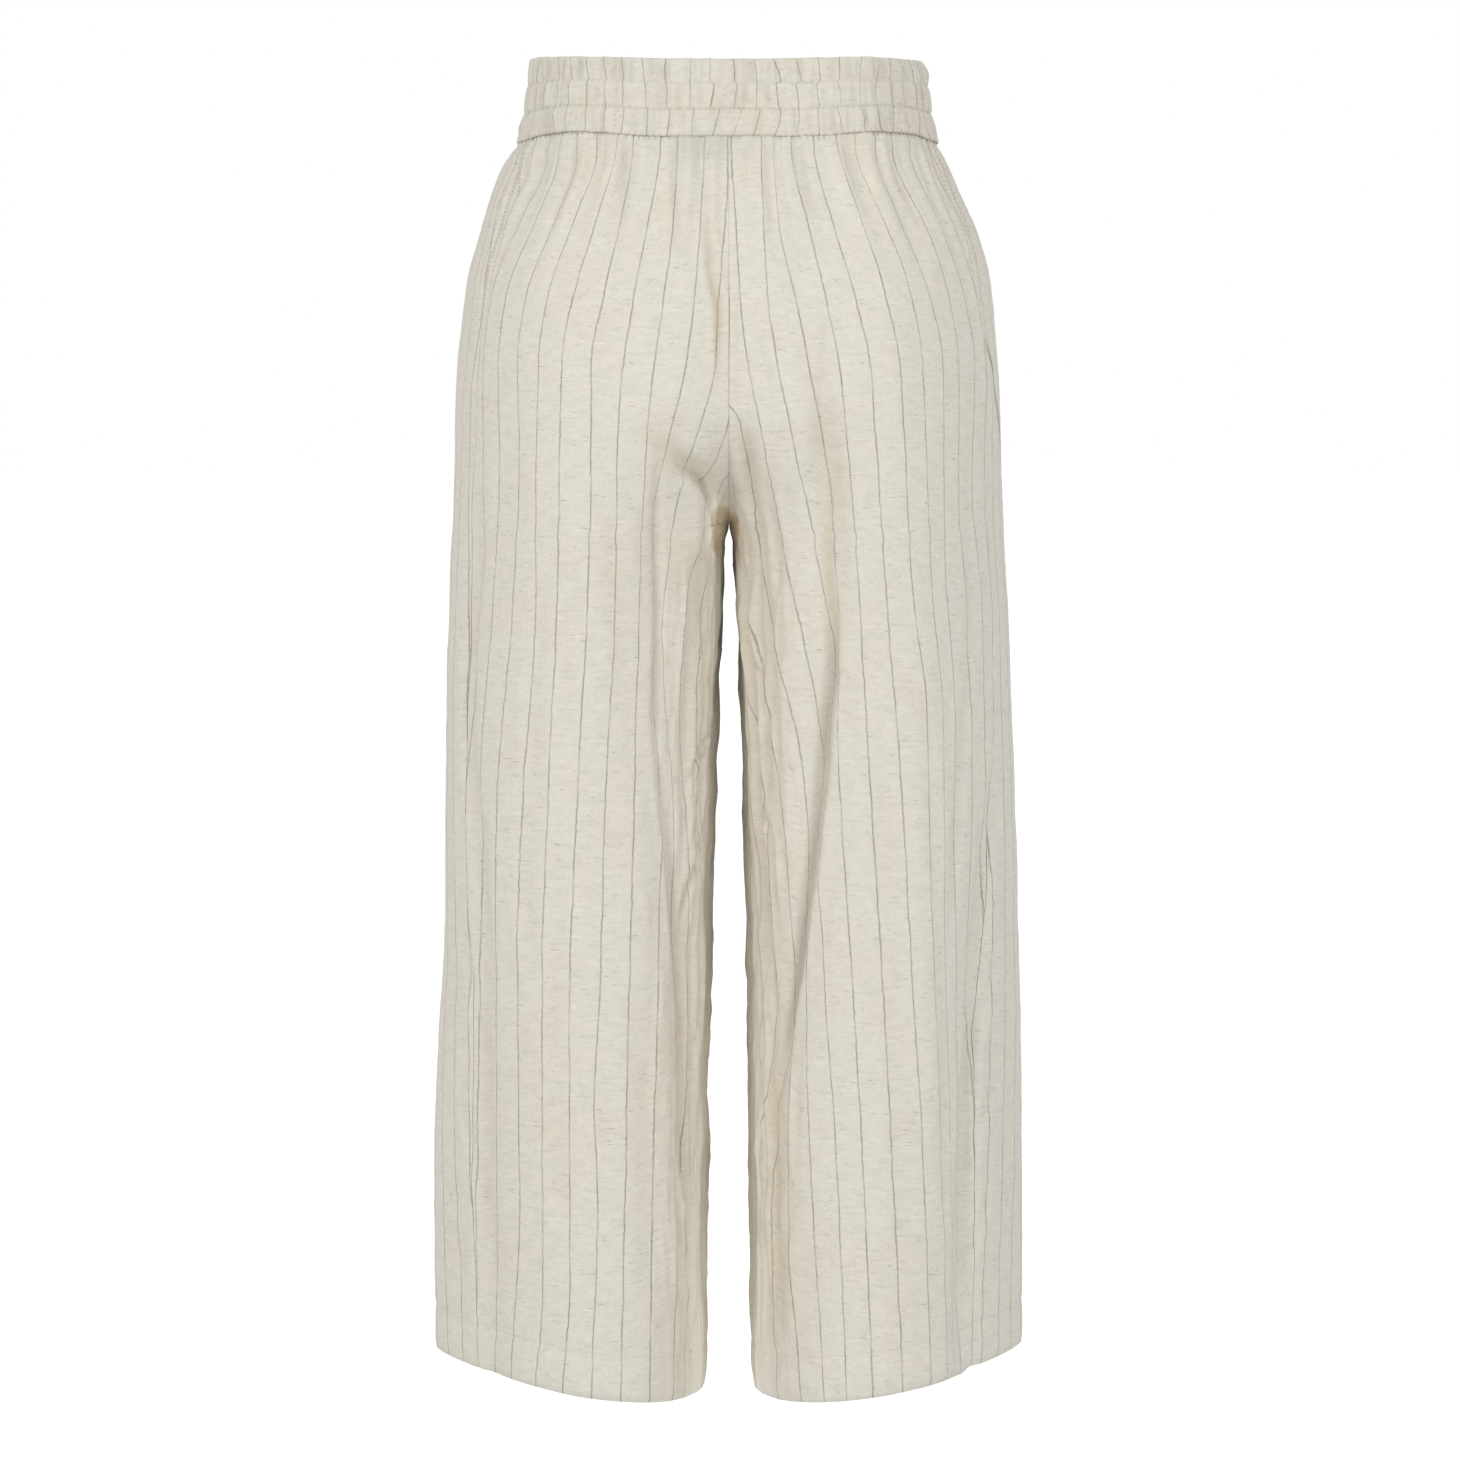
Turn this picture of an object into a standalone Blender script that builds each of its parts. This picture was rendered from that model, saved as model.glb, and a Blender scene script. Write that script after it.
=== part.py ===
"""Wide-leg culottes with an elastic waist, filled out as worn.

Frame: metres, +Z up. The origin is the centre of the waist at the waistband's mid-height, the front faces -Y and the
wearer's left is +X. Every table below is in millimetres, for the wearer's left half; the right half is its mirror
image with its own folds. A section is the cloth's outer line at one height, from the front seam (or inseam) round the
side to the back seam (or inseam). Above the crotch a section is open and ends on the seat and front seams, which make
one U through the crotch in the plane x = 0. Below the crotch it is the closed ring of one leg.
"""

import bmesh
import bpy
import numpy as np
from math import pi

MM = 0.001

# ---- sizes, mm ----
CLOTH = 1.5  # wall of a panel
CASING = 3.0  # wall of the waistband: folded cloth over elastic
TURN_UP = 1.2  # wall of the hem's inner layer
GAP = 0.3  # between pieces at a seam
HEM_DEPTH = 30.0  # height of the turn-up

BAND_TOP_BACK, BAND_TOP_SIDE, BAND_TOP_FRONT = 24.3, 28.8, 24.0  # the band's top edge dips a little at back and front
SEAM_BACK, SEAM_SIDE, SEAM_FRONT = -24.4, -28.7, -24.4  # the waist seam under it

TOP_Z = -26.5  # the panels' top row, before it follows the waist seam

CROTCH_Z = -278.0  # lowest point of the U, where the four panels meet
CROTCH_Y = 15.0
U_START_Z = -196.0  # where the seat and front seams start to curve under
HALF_GAP = 0.2  # left and right panels stand this far from x = 0 along the U
LEG_CROSSING = 0.4  # above the crotch each leg's ring reaches this much further past x = 0 for each millimetre of height

HEM_Z = -845.6  # hem line at the middle of a leg
HEM_TILT = 11.2  # the hem is this much higher at the leg's outer side and lower at its inner side
HEM_TILT_FROM = -470.0  # the rows start to tilt here
LEG_HALF = 88.0  # half the leg's width at the hem

# ---- sections: one row for each height ----
# side_l, side_r, side_y: the outermost point of the left and the right half. back, front: the furthest point back and forward. in_x: half the gap between the legs.
# mid_back, mid_front: the seat seam and the front seam before they curve under. mid_y: the innermost point of a leg ring.
# k_side, k_back: fullness of the outer back corner towards the side and towards the back, on the left and right leg.
# k_in: fullness of the inner back corner (0.55 is an ellipse).
SECTION_COLUMNS = "z side_l side_r side_y back_x back_y front_x front_y in_x mid_back mid_front mid_y k_side_l k_side_r k_back_l k_back_r k_in"
SECTIONS = (
    (-24.0, 139.0, 137.6, 0.0, 52.0, 100.0, 52.0, -95.5, 0.2, 99.0, -95.5, 15.0, 0.52, 0.52, 0.55, 0.55, 0.55),
    (-40.0, 149.6, 146.6, 1.0, 58.0, 107.0, 56.0, -100.5, 0.2, 105.0, -100.0, 15.0, 0.50, 0.50, 0.55, 0.55, 0.55),
    (-60.0, 157.3, 154.6, 3.0, 64.0, 115.0, 58.0, -105.5, 0.2, 112.0, -105.0, 15.0, 0.50, 0.50, 0.55, 0.55, 0.55),
    (-85.0, 164.4, 165.0, 4.0, 70.0, 124.0, 60.0, -110.0, 0.2, 121.5, -109.0, 15.0, 0.50, 0.50, 0.55, 0.55, 0.55),
    (-115.0, 173.3, 173.0, 6.0, 76.0, 132.0, 62.0, -114.5, 0.2, 128.5, -113.0, 15.0, 0.50, 0.50, 0.55, 0.55, 0.55),
    (-150.0, 177.9, 177.0, 7.0, 80.0, 138.5, 64.0, -118.0, 0.2, 133.5, -116.0, 15.0, 0.50, 0.46, 0.52, 0.56, 0.55),
    (-196.0, 181.2, 180.0, 8.0, 84.0, 141.5, 66.0, -119.5, 0.2, 135.5, -117.5, 15.0, 0.54, 0.40, 0.46, 0.58, 0.56),
    (-236.0, 182.2, 181.0, 8.0, 88.0, 140.0, 70.0, -118.5, 0.2, 132.5, -117.0, 15.0, 0.57, 0.36, 0.42, 0.58, 0.60),
    (-278.0, 183.6, 182.4, 8.0, 92.0, 136.5, 76.0, -117.0, 0.2, 128.0, -116.0, 15.0, 0.58, 0.34, 0.38, 0.56, 0.66),
    (-290.0, 184.2, 183.1, 8.0, 92.7, 135.2, 77.8, -116.6, 3.2, 127.0, -115.0, 15.0, 0.58, 0.34, 0.37, 0.56, 0.67),
    (-330.0, 186.3, 186.0, 8.0, 95.0, 130.9, 84.0, -115.0, 4.2, 124.0, -113.0, 14.0, 0.57, 0.34, 0.36, 0.54, 0.69),
    (-395.0, 188.8, 188.6, 8.0, 97.0, 125.0, 92.0, -111.5, 7.0, 120.0, -110.0, 12.0, 0.55, 0.33, 0.40, 0.53, 0.74),
    (-465.0, 189.8, 191.6, 8.0, 98.0, 121.0, 98.0, -107.5, 9.6, 116.0, -106.0, 10.0, 0.54, 0.32, 0.42, 0.53, 0.74),
    (-550.0, 190.9, 194.0, 6.0, 98.0, 117.5, 102.0, -103.5, 12.2, 112.0, -102.0, 9.0, 0.48, 0.31, 0.44, 0.53, 0.72),
    (-630.0, 195.2, 195.8, 4.0, 96.0, 115.0, 104.0, -100.5, 13.5, 110.0, -99.0, 8.0, 0.40, 0.29, 0.42, 0.52, 0.70),
    (-720.0, 198.4, 197.3, 2.0, 93.0, 113.0, 105.0, -98.0, 14.6, 108.0, -97.0, 6.0, 0.36, 0.27, 0.36, 0.50, 0.67),
    (-800.0, 198.3, 197.9, 0.0, 91.0, 111.0, 106.0, -96.5, 15.4, 107.0, -96.0, 4.0, 0.30, 0.25, 0.35, 0.48, 0.64),
    (-860.0, 198.0, 198.0, 0.0, 90.0, 110.0, 106.0, -96.0, 17.0, 107.0, -96.0, 3.0, 0.28, 0.25, 0.33, 0.47, 0.62),
)

# How far the side seam lies in from the outermost point, towards the back, and the inseam's place along y.
SEAM_COLUMNS = "z side_l side_r inseam_y"
SEAMS = (
    (-24.0, 6.0, 5.0, 15.0),
    (-60.0, 13.0, 8.0, 15.0),
    (-115.0, 16.0, 10.0, 15.0),
    (-196.0, 17.0, 11.0, 15.0),
    (-278.0, 15.0, 12.0, 15.0),
    (-395.0, 15.0, 14.0, 40.0),
    (-500.0, 17.0, 20.0, 44.0),
    (-630.0, 26.0, 32.0, 40.0),
    (-860.0, 31.0, 35.0, 36.0),
)

# Waistband: share of its height from the top, and how far it stands out there from the top of the panels. Two rows of
# stitching pinch it into three tunnels, and the lowest one flares out to the waist seam.
BAND_COLUMNS = "share out"
BAND = (
    (0.00, -8.9),
    (0.16, -7.2),
    (0.35, -7.7),
    (0.50, -5.7),
    (0.63, -5.8),
    (0.86, 0.9),
    (1.00, 1.5),
)

# ---- the largest folds: one row each. path is (height, distance from the centre plane). Depth inward is positive. ----
FOLD_COLUMNS = "side face depth half_width path"
FOLDS = (
    ("left", "back", 5.0, 15.0, ((-215.0, 44.0), (-328.0, 45.0), (-458.0, 41.0), (-582.0, 31.0), (-745.0, 25.0))),
    ("left", "back", 3.0, 13.0, ((-250.0, 164.0), (-400.0, 170.0), (-550.0, 162.0), (-852.0, 157.0))),
    ("left", "back", -2.0, 16.0, ((-250.0, 75.0), (-360.0, 74.0), (-450.0, 70.0))),
    ("right", "back", 5.0, 14.0, ((-190.0, 62.0), (-289.0, 65.0), (-367.0, 67.0), (-497.0, 59.0), (-595.0, 40.0), (-660.0, 32.0))),
    ("right", "back", -3.0, 14.0, ((-300.0, 38.0), (-420.0, 42.0), (-560.0, 36.0))),
    ("right", "back", 4.0, 13.0, ((-420.0, 180.0), (-517.0, 166.0), (-680.0, 156.0), (-852.0, 156.0))),
    ("right", "back", -2.5, 16.0, ((-330.0, 128.0), (-500.0, 132.0), (-700.0, 130.0))),
    ("left", "front", 4.0, 17.0, ((-150.0, 84.0), (-330.0, 92.0), (-560.0, 88.0), (-852.0, 92.0))),
    ("left", "front", 3.0, 15.0, ((-260.0, 30.0), (-420.0, 40.0), (-640.0, 38.0))),
    ("right", "front", 4.5, 17.0, ((-130.0, 80.0), (-330.0, 86.0), (-560.0, 94.0), (-852.0, 88.0))),
    ("right", "front", 3.0, 15.0, ((-250.0, 34.0), (-450.0, 36.0), (-680.0, 42.0))),
    ("right", "front", -2.5, 15.0, ((-420.0, 128.0), (-600.0, 132.0), (-852.0, 134.0))),
)
# The largest gathers below the waist seam: where they start, where they fade out, and their depth.
GATHER_COLUMNS = "side face x_top x_low z_low depth half_width"
GATHERS = (
    ("left", "back", 118.0, 138.0, -120.0, 2.4, 10.0),
    ("left", "back", 88.0, 100.0, -150.0, 2.2, 10.0),
    ("left", "back", 56.0, 62.0, -130.0, 2.6, 10.0),
    ("right", "back", 108.0, 128.0, -140.0, 2.4, 10.0),
    ("right", "back", 78.0, 90.0, -120.0, 2.2, 10.0),
    ("right", "back", 46.0, 52.0, -150.0, 2.6, 10.0),
    ("left", "front", 110.0, 126.0, -130.0, 2.4, 11.0),
    ("left", "front", 76.0, 84.0, -150.0, 2.6, 11.0),
    ("left", "front", 40.0, 44.0, -120.0, 2.2, 11.0),
    ("right", "front", 104.0, 120.0, -150.0, 2.4, 11.0),
    ("right", "front", 70.0, 78.0, -120.0, 2.6, 11.0),
    ("right", "front", 36.0, 40.0, -140.0, 2.2, 11.0),
)
POCKET_LIP_Z, POCKET_LIP_REACH, POCKET_LIP_OUT = -177.0, 26.0, 1.6  # the right pocket's mouth stands out a little at its lower end

# ---- rows and columns of the faceted panels ----
EVEN_TOP, EVEN_LOW = -140.0, -360.0  # between these heights the columns ignore how fast the U grows
ROWS_SEAT = (-42.0, -62.0, -85.0, -112.0, -142.0, -170.0)
ROWS_U = 7  # rows from U_START_Z to the crotch, evenly spaced along the U
ROWS_LEG = (-288.0, -310.0, -345.0, -392.0, -445.0, -505.0, -570.0, -640.0, -710.0, -770.0)
COLUMNS_BACK, COLUMNS_FRONT, COLUMNS_BAND = 18, 14, 52

# ---- finish ----
LINEN = (0.70, 0.66, 0.57, 1.0)
LINEN_BAND = (0.68, 0.63, 0.55, 1.0)
LINEN_INSIDE = (0.64, 0.60, 0.51, 1.0)


def table(columns, rows):
    """A table's columns by name, with the heights rising so that they can be interpolated."""
    data = np.array(sorted(rows), float)
    return dict(zip(columns.split(), data.T))


def smooth_at(x, xs, ys):
    """A smooth curve through the points (xs, ys), read at x. Its slopes are limited so that it never overshoots."""
    x = np.clip(x, xs[0], xs[-1])
    h = np.diff(xs)
    d = np.diff(ys) / h
    m = np.zeros(len(xs))
    m[0], m[-1] = d[0], d[-1]
    for i in range(1, len(xs) - 1):
        if d[i - 1] * d[i] > 0:
            w1, w2 = 2 * h[i] + h[i - 1], h[i] + 2 * h[i - 1]
            m[i] = (w1 + w2) / (w1 / d[i - 1] + w2 / d[i])
    i = np.clip(np.searchsorted(xs, x) - 1, 0, len(h) - 1)
    t = (x - xs[i]) / h[i]
    a, b, c, e = (1 + 2 * t) * (1 - t) ** 2, t * (1 - t) ** 2, t * t * (3 - 2 * t), t * t * (t - 1)
    return a * ys[i] + b * h[i] * m[i] + c * ys[i + 1] + e * h[i] * m[i + 1]


def soft_step(x, low, high):
    t = np.clip((x - low) / (high - low), 0, 1)
    return t * t * (3 - 2 * t)


def bezier(p0, p1, p2, p3, n=48):
    t = np.linspace(0, 1, n + 1)[:, None]
    p0, p1, p2, p3 = (np.array(p, float)[None] for p in (p0, p1, p2, p3))
    return (1 - t) ** 3 * p0 + 3 * t * (1 - t) ** 2 * p1 + 3 * t * t * (1 - t) * p2 + t**3 * p3


def even_points(line, n=48):
    """A line's points moved to even distances along it."""
    gone = np.concatenate(([0.0], np.cumsum(np.linalg.norm(np.diff(line, axis=0), axis=1))))
    d = np.linspace(0, gone[-1], n + 1)
    return np.stack([np.interp(d, gone, line[:, i]) for i in (0, 1)], -1)


def inner_part(z, row, face):
    """The part of a section from its furthest point back (or forward) to its end. Under the crotch it is a quarter of
    the leg's ring. In the U it is the ring of a leg that crosses the centre plane, cut off there, and further up it turns
    into a line that runs nearly straight across to the seat (or front) seam."""
    sign = 1.0 if face == "back" else -1.0
    k = row["k_in"] if face == "back" else 0.6
    far = np.array((row[face + "_x"], row[face + "_y"]))
    tip = np.array((row["in_x"] - LEG_CROSSING * max(z - CROTCH_Z, 0.0), row["mid_y"]))
    ring = bezier(far, far - (k * (far[0] - tip[0]), 0), tip + (0, k * (far[1] - tip[1])), tip)
    if tip[0] < HALF_GAP:
        i = int(np.argmax(ring[:, 0] < HALF_GAP))
        t = (ring[i - 1, 0] - HALF_GAP) / (ring[i - 1, 0] - ring[i, 0])
        ring = np.vstack((ring[:i], ring[i - 1] + t * (ring[i] - ring[i - 1])))
    ring = even_points(ring)
    low = soft_step(-z, -U_START_Z, -CROTCH_Z)
    if low == 1.0:
        return ring
    end = np.array((HALF_GAP, row["mid_" + face]))
    turn = np.clip((far[1] - end[1]) * sign / 22.0, 0, 1) * pi / 2
    grip = k * (np.cos(turn) * (far[0] - end[0]) + np.sin(turn) * abs(far[1] - end[1]))
    across = even_points(bezier(far, far - (k * (far[0] - end[0]), 0), end + grip * np.array((np.cos(turn), sign * np.sin(turn))), end))
    return across + (ring - across) * low


def section(z, side):
    """The outer line of the cloth at a height, as points with their distance along it, and where its seams lie."""
    cols = table(SECTION_COLUMNS, SECTIONS)
    row = {name: float(smooth_at(np.array(z), cols["z"], ys)) for name, ys in cols.items() if name != "z"}
    k_side = row["k_side_l"] if side == "left" else row["k_side_r"]
    s = np.array((row["side_l" if side == "left" else "side_r"], row["side_y"]))
    b = np.array((row["back_x"], row["back_y"]))
    f = np.array((row["front_x"], row["front_y"]))
    k, kb = 0.55, row["k_back_l" if side == "left" else "k_back_r"]
    legs = (
        inner_part(z, row, "front")[::-1],
        bezier(f, f + (k * (s[0] - f[0]), 0), s - (0, k * (s[1] - f[1])), s),
        bezier(s, s + (0, k_side * (b[1] - s[1])), b + (kb * (s[0] - b[0]), 0), b),
        inner_part(z, row, "back"),
    )
    pts = np.vstack([legs[0]] + [leg[1:] for leg in legs[1:]])
    along = np.concatenate(([0.0], np.cumsum(np.linalg.norm(np.diff(pts, axis=0), axis=1))))
    n = len(legs[0]) - 1
    seams = table(SEAM_COLUMNS, SEAMS)
    inset = float(smooth_at(np.array(z), seams["z"], seams["side_l" if side == "left" else "side_r"]))
    at_side = along_at(pts, along, 2 * n, 3 * n, s[0] - inset)
    if z < CROTCH_Z - 1e-6:
        # A closed ring: it starts and ends at the inseam, which lies a little towards the back.
        inseam_y = float(smooth_at(np.array(z), seams["z"], seams["inseam_y"]))
        ys = pts[3 * n :, 1][::-1]
        cut = float(np.interp(max(inseam_y, ys[0]), ys, along[3 * n :][::-1]))
    else:
        cut = along[-1]
    return pts, along, at_side, cut, (2 * n, 3 * n, n)


def along_at(pts, along, i0, i1, x):
    """The distance along a section at which its x falls to a value, between two of its points."""
    xs, ds = pts[i0 : i1 + 1, 0], along[i0 : i1 + 1]
    return float(np.interp(-x, -xs, ds)) if xs[0] > xs[-1] else float(np.interp(x, xs, ds))


def point_at(pts, along, d):
    """Points and outward directions at distances along a section. Below the crotch the distances run round the ring."""
    total = along[-1]
    closed = np.linalg.norm(pts[0] - pts[-1]) < 1e-6
    dd = np.mod(d, total) if closed else np.clip(d, 0, total)
    p = np.stack([np.interp(dd, along, pts[:, i]) for i in (0, 1)], -1)
    step = 0.6
    lo, hi = (np.mod(dd - step, total), np.mod(dd + step, total)) if closed else (np.clip(dd - step, 0, total), np.clip(dd + step, 0, total))
    a = np.stack([np.interp(lo, along, pts[:, i]) for i in (0, 1)], -1)
    b = np.stack([np.interp(hi, along, pts[:, i]) for i in (0, 1)], -1)
    t = b - a
    t /= np.linalg.norm(t, axis=-1, keepdims=True)
    return p, np.stack((t[:, 1], -t[:, 0]), -1)


def fold_reach(z, top, low, fade):
    """1 along a fold and 0 beyond its ends. A fold that runs out at the hem or the waist isn't faded there."""
    up = 1.0 if top > -40 else soft_step(-z, -top, -top + fade)
    down = 1.0 if low < -845 else 1 - soft_step(-z, -low - fade, -low)
    return up * down


def inward(z, side, d, sec):
    """How far the folds, the gathers and the pocket's lip move the points at distances d along the section at z."""
    pts, along, at_side, cut, (i_side, i_back, i_front) = sec
    move = np.zeros(len(d))
    rows = [(s, f, dep, w, path, 60.0) for s, f, dep, w, path in FOLDS]
    rows += [(s, f, dep, w, ((-20.0, x0), (z1, x1)), 70.0) for s, f, x0, x1, z1, dep, w in GATHERS]
    for s, face, depth, width, path, fade in rows:
        if s != side or not (path[-1][0] <= z <= path[0][0]):
            continue
        ph = np.array(path[::-1])
        x = float(smooth_at(np.array(z), ph[:, 0], ph[:, 1]))
        centre = along_at(pts, along, i_side, len(pts) - 1, x) if face == "back" else along_at(pts, along, 0, i_side, x)
        move += depth * fold_reach(z, path[0][0], path[-1][0], fade) * np.exp(-(((d - centre) / width) ** 2))
    if side == "right":
        lip = np.exp(-(((z - POCKET_LIP_Z) / POCKET_LIP_REACH) ** 2)) * np.exp(-(((d - at_side + 9.0) / 9.0) ** 2))
        move -= POCKET_LIP_OUT * lip
    return move


def tilt(z, x):
    """The rows of a leg tilt towards the hem, so that its outer side is higher."""
    return HEM_TILT * soft_step(-z, -HEM_TILT_FROM, -HEM_Z) * (x - (197.0 + 17.0) / 2) / LEG_HALF


def seam_height(x, y, side_z, back_z, front_z, half_x):
    """The height of a line round the waist that is higher or lower at the sides than at back and front."""
    out = np.clip(np.abs(x) / half_x, 0, 1) ** 2.2
    middle = np.where(y > 0, back_z, front_z)
    return middle + (side_z - middle) * out


def row_heights():
    u = [U_START_Z - (U_START_Z - CROTCH_Z) * np.sin(pi / 2 * i / ROWS_U) for i in range(ROWS_U + 1)]
    hem = [HEM_Z + HEM_DEPTH, HEM_Z + HEM_DEPTH / 2, HEM_Z]
    return [TOP_Z] + list(ROWS_SEAT) + u + list(ROWS_LEG) + hem


def spread(n, ends=0.55):
    """n + 1 shares from 0 to 1, closer together near both seams."""
    t = np.linspace(0, 1, n + 1)
    return t - ends * np.sin(2 * pi * t) / (2 * pi)


def reach_of(z, side, face):
    """A panel's two edges at a height, as distances along the section: the side seam's first."""
    sec = section(z, side)
    pts, along, at_side, cut, _ = sec
    below = z < CROTCH_Z - 1e-6
    edge = GAP / 2 if z <= CROTCH_Z + 1e-6 else 0.0
    if face == "front":
        return sec, at_side - GAP / 2, (cut - along[-1] if below else 0.0) + edge
    return sec, at_side + GAP / 2, cut - edge


def row_fan(z, shares):
    """The heights of a row's points. The rows of the U crowd together at its edge, where it runs level under the
    crotch, and they fan out towards the side seam, where they are evenly spaced."""
    q = (U_START_Z - z) / (U_START_Z - CROTCH_Z)
    if not 0 < q < 1:
        return np.full(len(shares), float(z))
    even = U_START_Z - (U_START_Z - CROTCH_Z) * np.arcsin(q) * 2 / pi
    return even + (z - even) * shares**3


def panel_row(z, side, shares, face):
    """One row of a panel, from its side seam inwards, in millimetres."""
    return np.vstack([panel_points(h, side, shares[i : i + 1], face) for i, h in enumerate(row_fan(z, shares))])


def panel_points(z, side, shares, face):
    """Points of a panel at a height, at shares of its width from the side seam. Where the panel reaches under to the
    crotch its width grows fast, and only the points near that edge take it up, so that the others run down evenly."""
    sec, start, end = reach_of(z, side, face)
    pts, along, at_side, cut, _ = sec
    width = abs(end - start)
    even = width
    if EVEN_LOW < z < EVEN_TOP:
        _, s0, e0 = reach_of(EVEN_TOP, side, face)
        _, s1, e1 = reach_of(EVEN_LOW, side, face)
        even = abs(e0 - s0) + (abs(e1 - s1) - abs(e0 - s0)) * soft_step(-z, -EVEN_TOP, -EVEN_LOW)
    d = start + np.sign(end - start) * (even * shares + (width - even) * shares**4)
    p, out = point_at(pts, along, d)
    p = p - out * inward(z, side, d, sec)[:, None]
    if z > CROTCH_Z - 1e-6:
        p[:, 0] = np.maximum(p[:, 0], HALF_GAP)
    zz = z + tilt(z, p[:, 0])
    if z > -30:  # the top row follows the waist seam
        zz = seam_height(p[:, 0], p[:, 1], SEAM_SIDE, SEAM_BACK, SEAM_FRONT, 139.0) - GAP / 2
    else:
        ease = 1 - soft_step(-z, -TOP_Z, 90.0)
        zz = zz + ease * (seam_height(p[:, 0], p[:, 1], SEAM_SIDE, SEAM_BACK, SEAM_FRONT, 139.0) - TOP_Z)
    flip = 1 if side == "left" else -1
    return np.stack((flip * p[:, 0], p[:, 1], zz), -1)


def loft(name, rows, wall, closed, colour, flip, parent_collection):
    """An open surface through rows of points, made a wall by Solidify, which adds its thickness inside."""
    n, m = len(rows), len(rows[0])
    verts = np.concatenate(rows) * MM
    faces = []
    for i in range(n - 1):
        for j in range(m if closed else m - 1):
            k = (j + 1) % m
            quad = (i * m + j, (i + 1) * m + j, (i + 1) * m + k, i * m + k)
            faces.append(quad[::-1] if flip else quad)
    mesh = bpy.data.meshes.new(name)
    mesh.from_pydata(verts.tolist(), [], faces)
    mesh.update()
    obj = bpy.data.objects.new(name, mesh)
    parent_collection.objects.link(obj)
    skin = obj.modifiers.new("wall", "SOLIDIFY")
    skin.thickness = wall * MM
    skin.offset = -1.0
    skin.use_even_offset = False
    mat = bpy.data.materials.new(name + "_cloth")
    mat.use_nodes = True
    shader = mat.node_tree.nodes["Principled BSDF"]
    shader.inputs["Base Color"].default_value = colour
    shader.inputs["Roughness"].default_value = 0.88
    shader.inputs["Metallic"].default_value = 0.0
    mesh.materials.append(mat)
    mesh.shade_smooth()
    mesh.set_sharp_from_angle(angle=pi / 4)
    return obj


def hem_rows(side):
    """The turn-up: the leg's own points for its last rows, moved in past the panel's wall, as one closed ring."""
    rows = []
    for z in (HEM_Z + HEM_DEPTH, HEM_Z + HEM_DEPTH / 2, HEM_Z):
        front = panel_row(z, side, spread(COLUMNS_FRONT), "front")[::-1]
        back = panel_row(z, side, spread(COLUMNS_BACK), "back")
        ring = np.vstack((front[:-1], (front[-1:] + back[:1]) / 2, back[1:-1], (back[-1:] + front[:1]) / 2))
        ring = ring[1:]  # the front's first point is in the last, shared one
        t = np.roll(ring, -1, 0) - np.roll(ring, 1, 0)
        t[:, 2] = 0
        t /= np.linalg.norm(t, axis=1, keepdims=True)
        out = np.stack((t[:, 1], -t[:, 0], np.zeros(len(t))), -1) * (1 if side == "left" else -1)
        rows.append(ring - out * (CLOTH + GAP) + (0, 0, 0.0))
    return rows


def band_rows():
    """The waistband's rings, from the top edge to the waist seam: the line of the panels' top, moved out."""
    pts, along, _, _, _ = section(TOP_Z, "left")
    pts = pts * (1, 1)
    pts[0, 0] = pts[-1, 0] = 0.0
    t = np.gradient(pts, axis=0)
    t /= np.linalg.norm(t, axis=1, keepdims=True)
    out = np.stack((t[:, 1], -t[:, 0]), -1)
    out[0], out[-1] = (0, -1), (0, 1)
    rows = []
    for share, reach in BAND:
        half = pts + out * reach
        half[0, 0] = half[-1, 0] = 0.0
        whole = np.vstack((half, (half * (-1, 1))[::-1][1:]))
        gone = np.concatenate(([0.0], np.cumsum(np.linalg.norm(np.diff(whole, axis=0), axis=1))))
        d = np.linspace(0, gone[-1], COLUMNS_BAND + 1)[:-1]
        p = np.stack([np.interp(d, gone, whole[:, i]) for i in (0, 1)], -1)
        half_x = half[:, 0].max()
        top = seam_height(p[:, 0], p[:, 1], BAND_TOP_SIDE, BAND_TOP_BACK, BAND_TOP_FRONT, half_x)
        low = seam_height(p[:, 0], p[:, 1], SEAM_SIDE, SEAM_BACK, SEAM_FRONT, half_x) + GAP / 2
        rows.append(np.column_stack((p, top + (low - top) * share)))
    return rows


def main():
    for obj in list(bpy.data.objects):
        bpy.data.objects.remove(obj, do_unlink=True)
    parts = bpy.data.collections.new("culottes")
    bpy.context.scene.collection.children.link(parts)
    heights = row_heights()
    for side in ("left", "right"):
        flip = side == "right"
        for face, count in (("back", COLUMNS_BACK), ("front", COLUMNS_FRONT)):
            rows = [panel_row(z, side, spread(count), face) for z in heights]
            loft(f"{face}_{side}", rows, CLOTH, False, LINEN, flip != (face == "front"), parts)
        loft(f"hem_{side}", hem_rows(side), TURN_UP, True, LINEN_INSIDE, flip, parts)
    loft("waistband", band_rows(), CASING, True, LINEN_BAND, False, parts)


main()
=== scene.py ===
from math import pi

import bpy
import numpy as np
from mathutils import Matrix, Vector


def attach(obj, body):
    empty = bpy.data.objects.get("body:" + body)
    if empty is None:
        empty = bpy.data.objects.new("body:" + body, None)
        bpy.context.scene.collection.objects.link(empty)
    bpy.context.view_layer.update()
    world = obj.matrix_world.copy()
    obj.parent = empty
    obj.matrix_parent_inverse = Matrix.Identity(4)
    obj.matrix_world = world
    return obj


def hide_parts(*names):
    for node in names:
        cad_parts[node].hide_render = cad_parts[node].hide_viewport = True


# Wide-leg culottes seen from behind, filled out as worn. Everything is worked out in millimetres, from the same sizes and
# sections as the solids, and then refined: gathers, creases, seams, hems, stitches and the striped linen itself.

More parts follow.
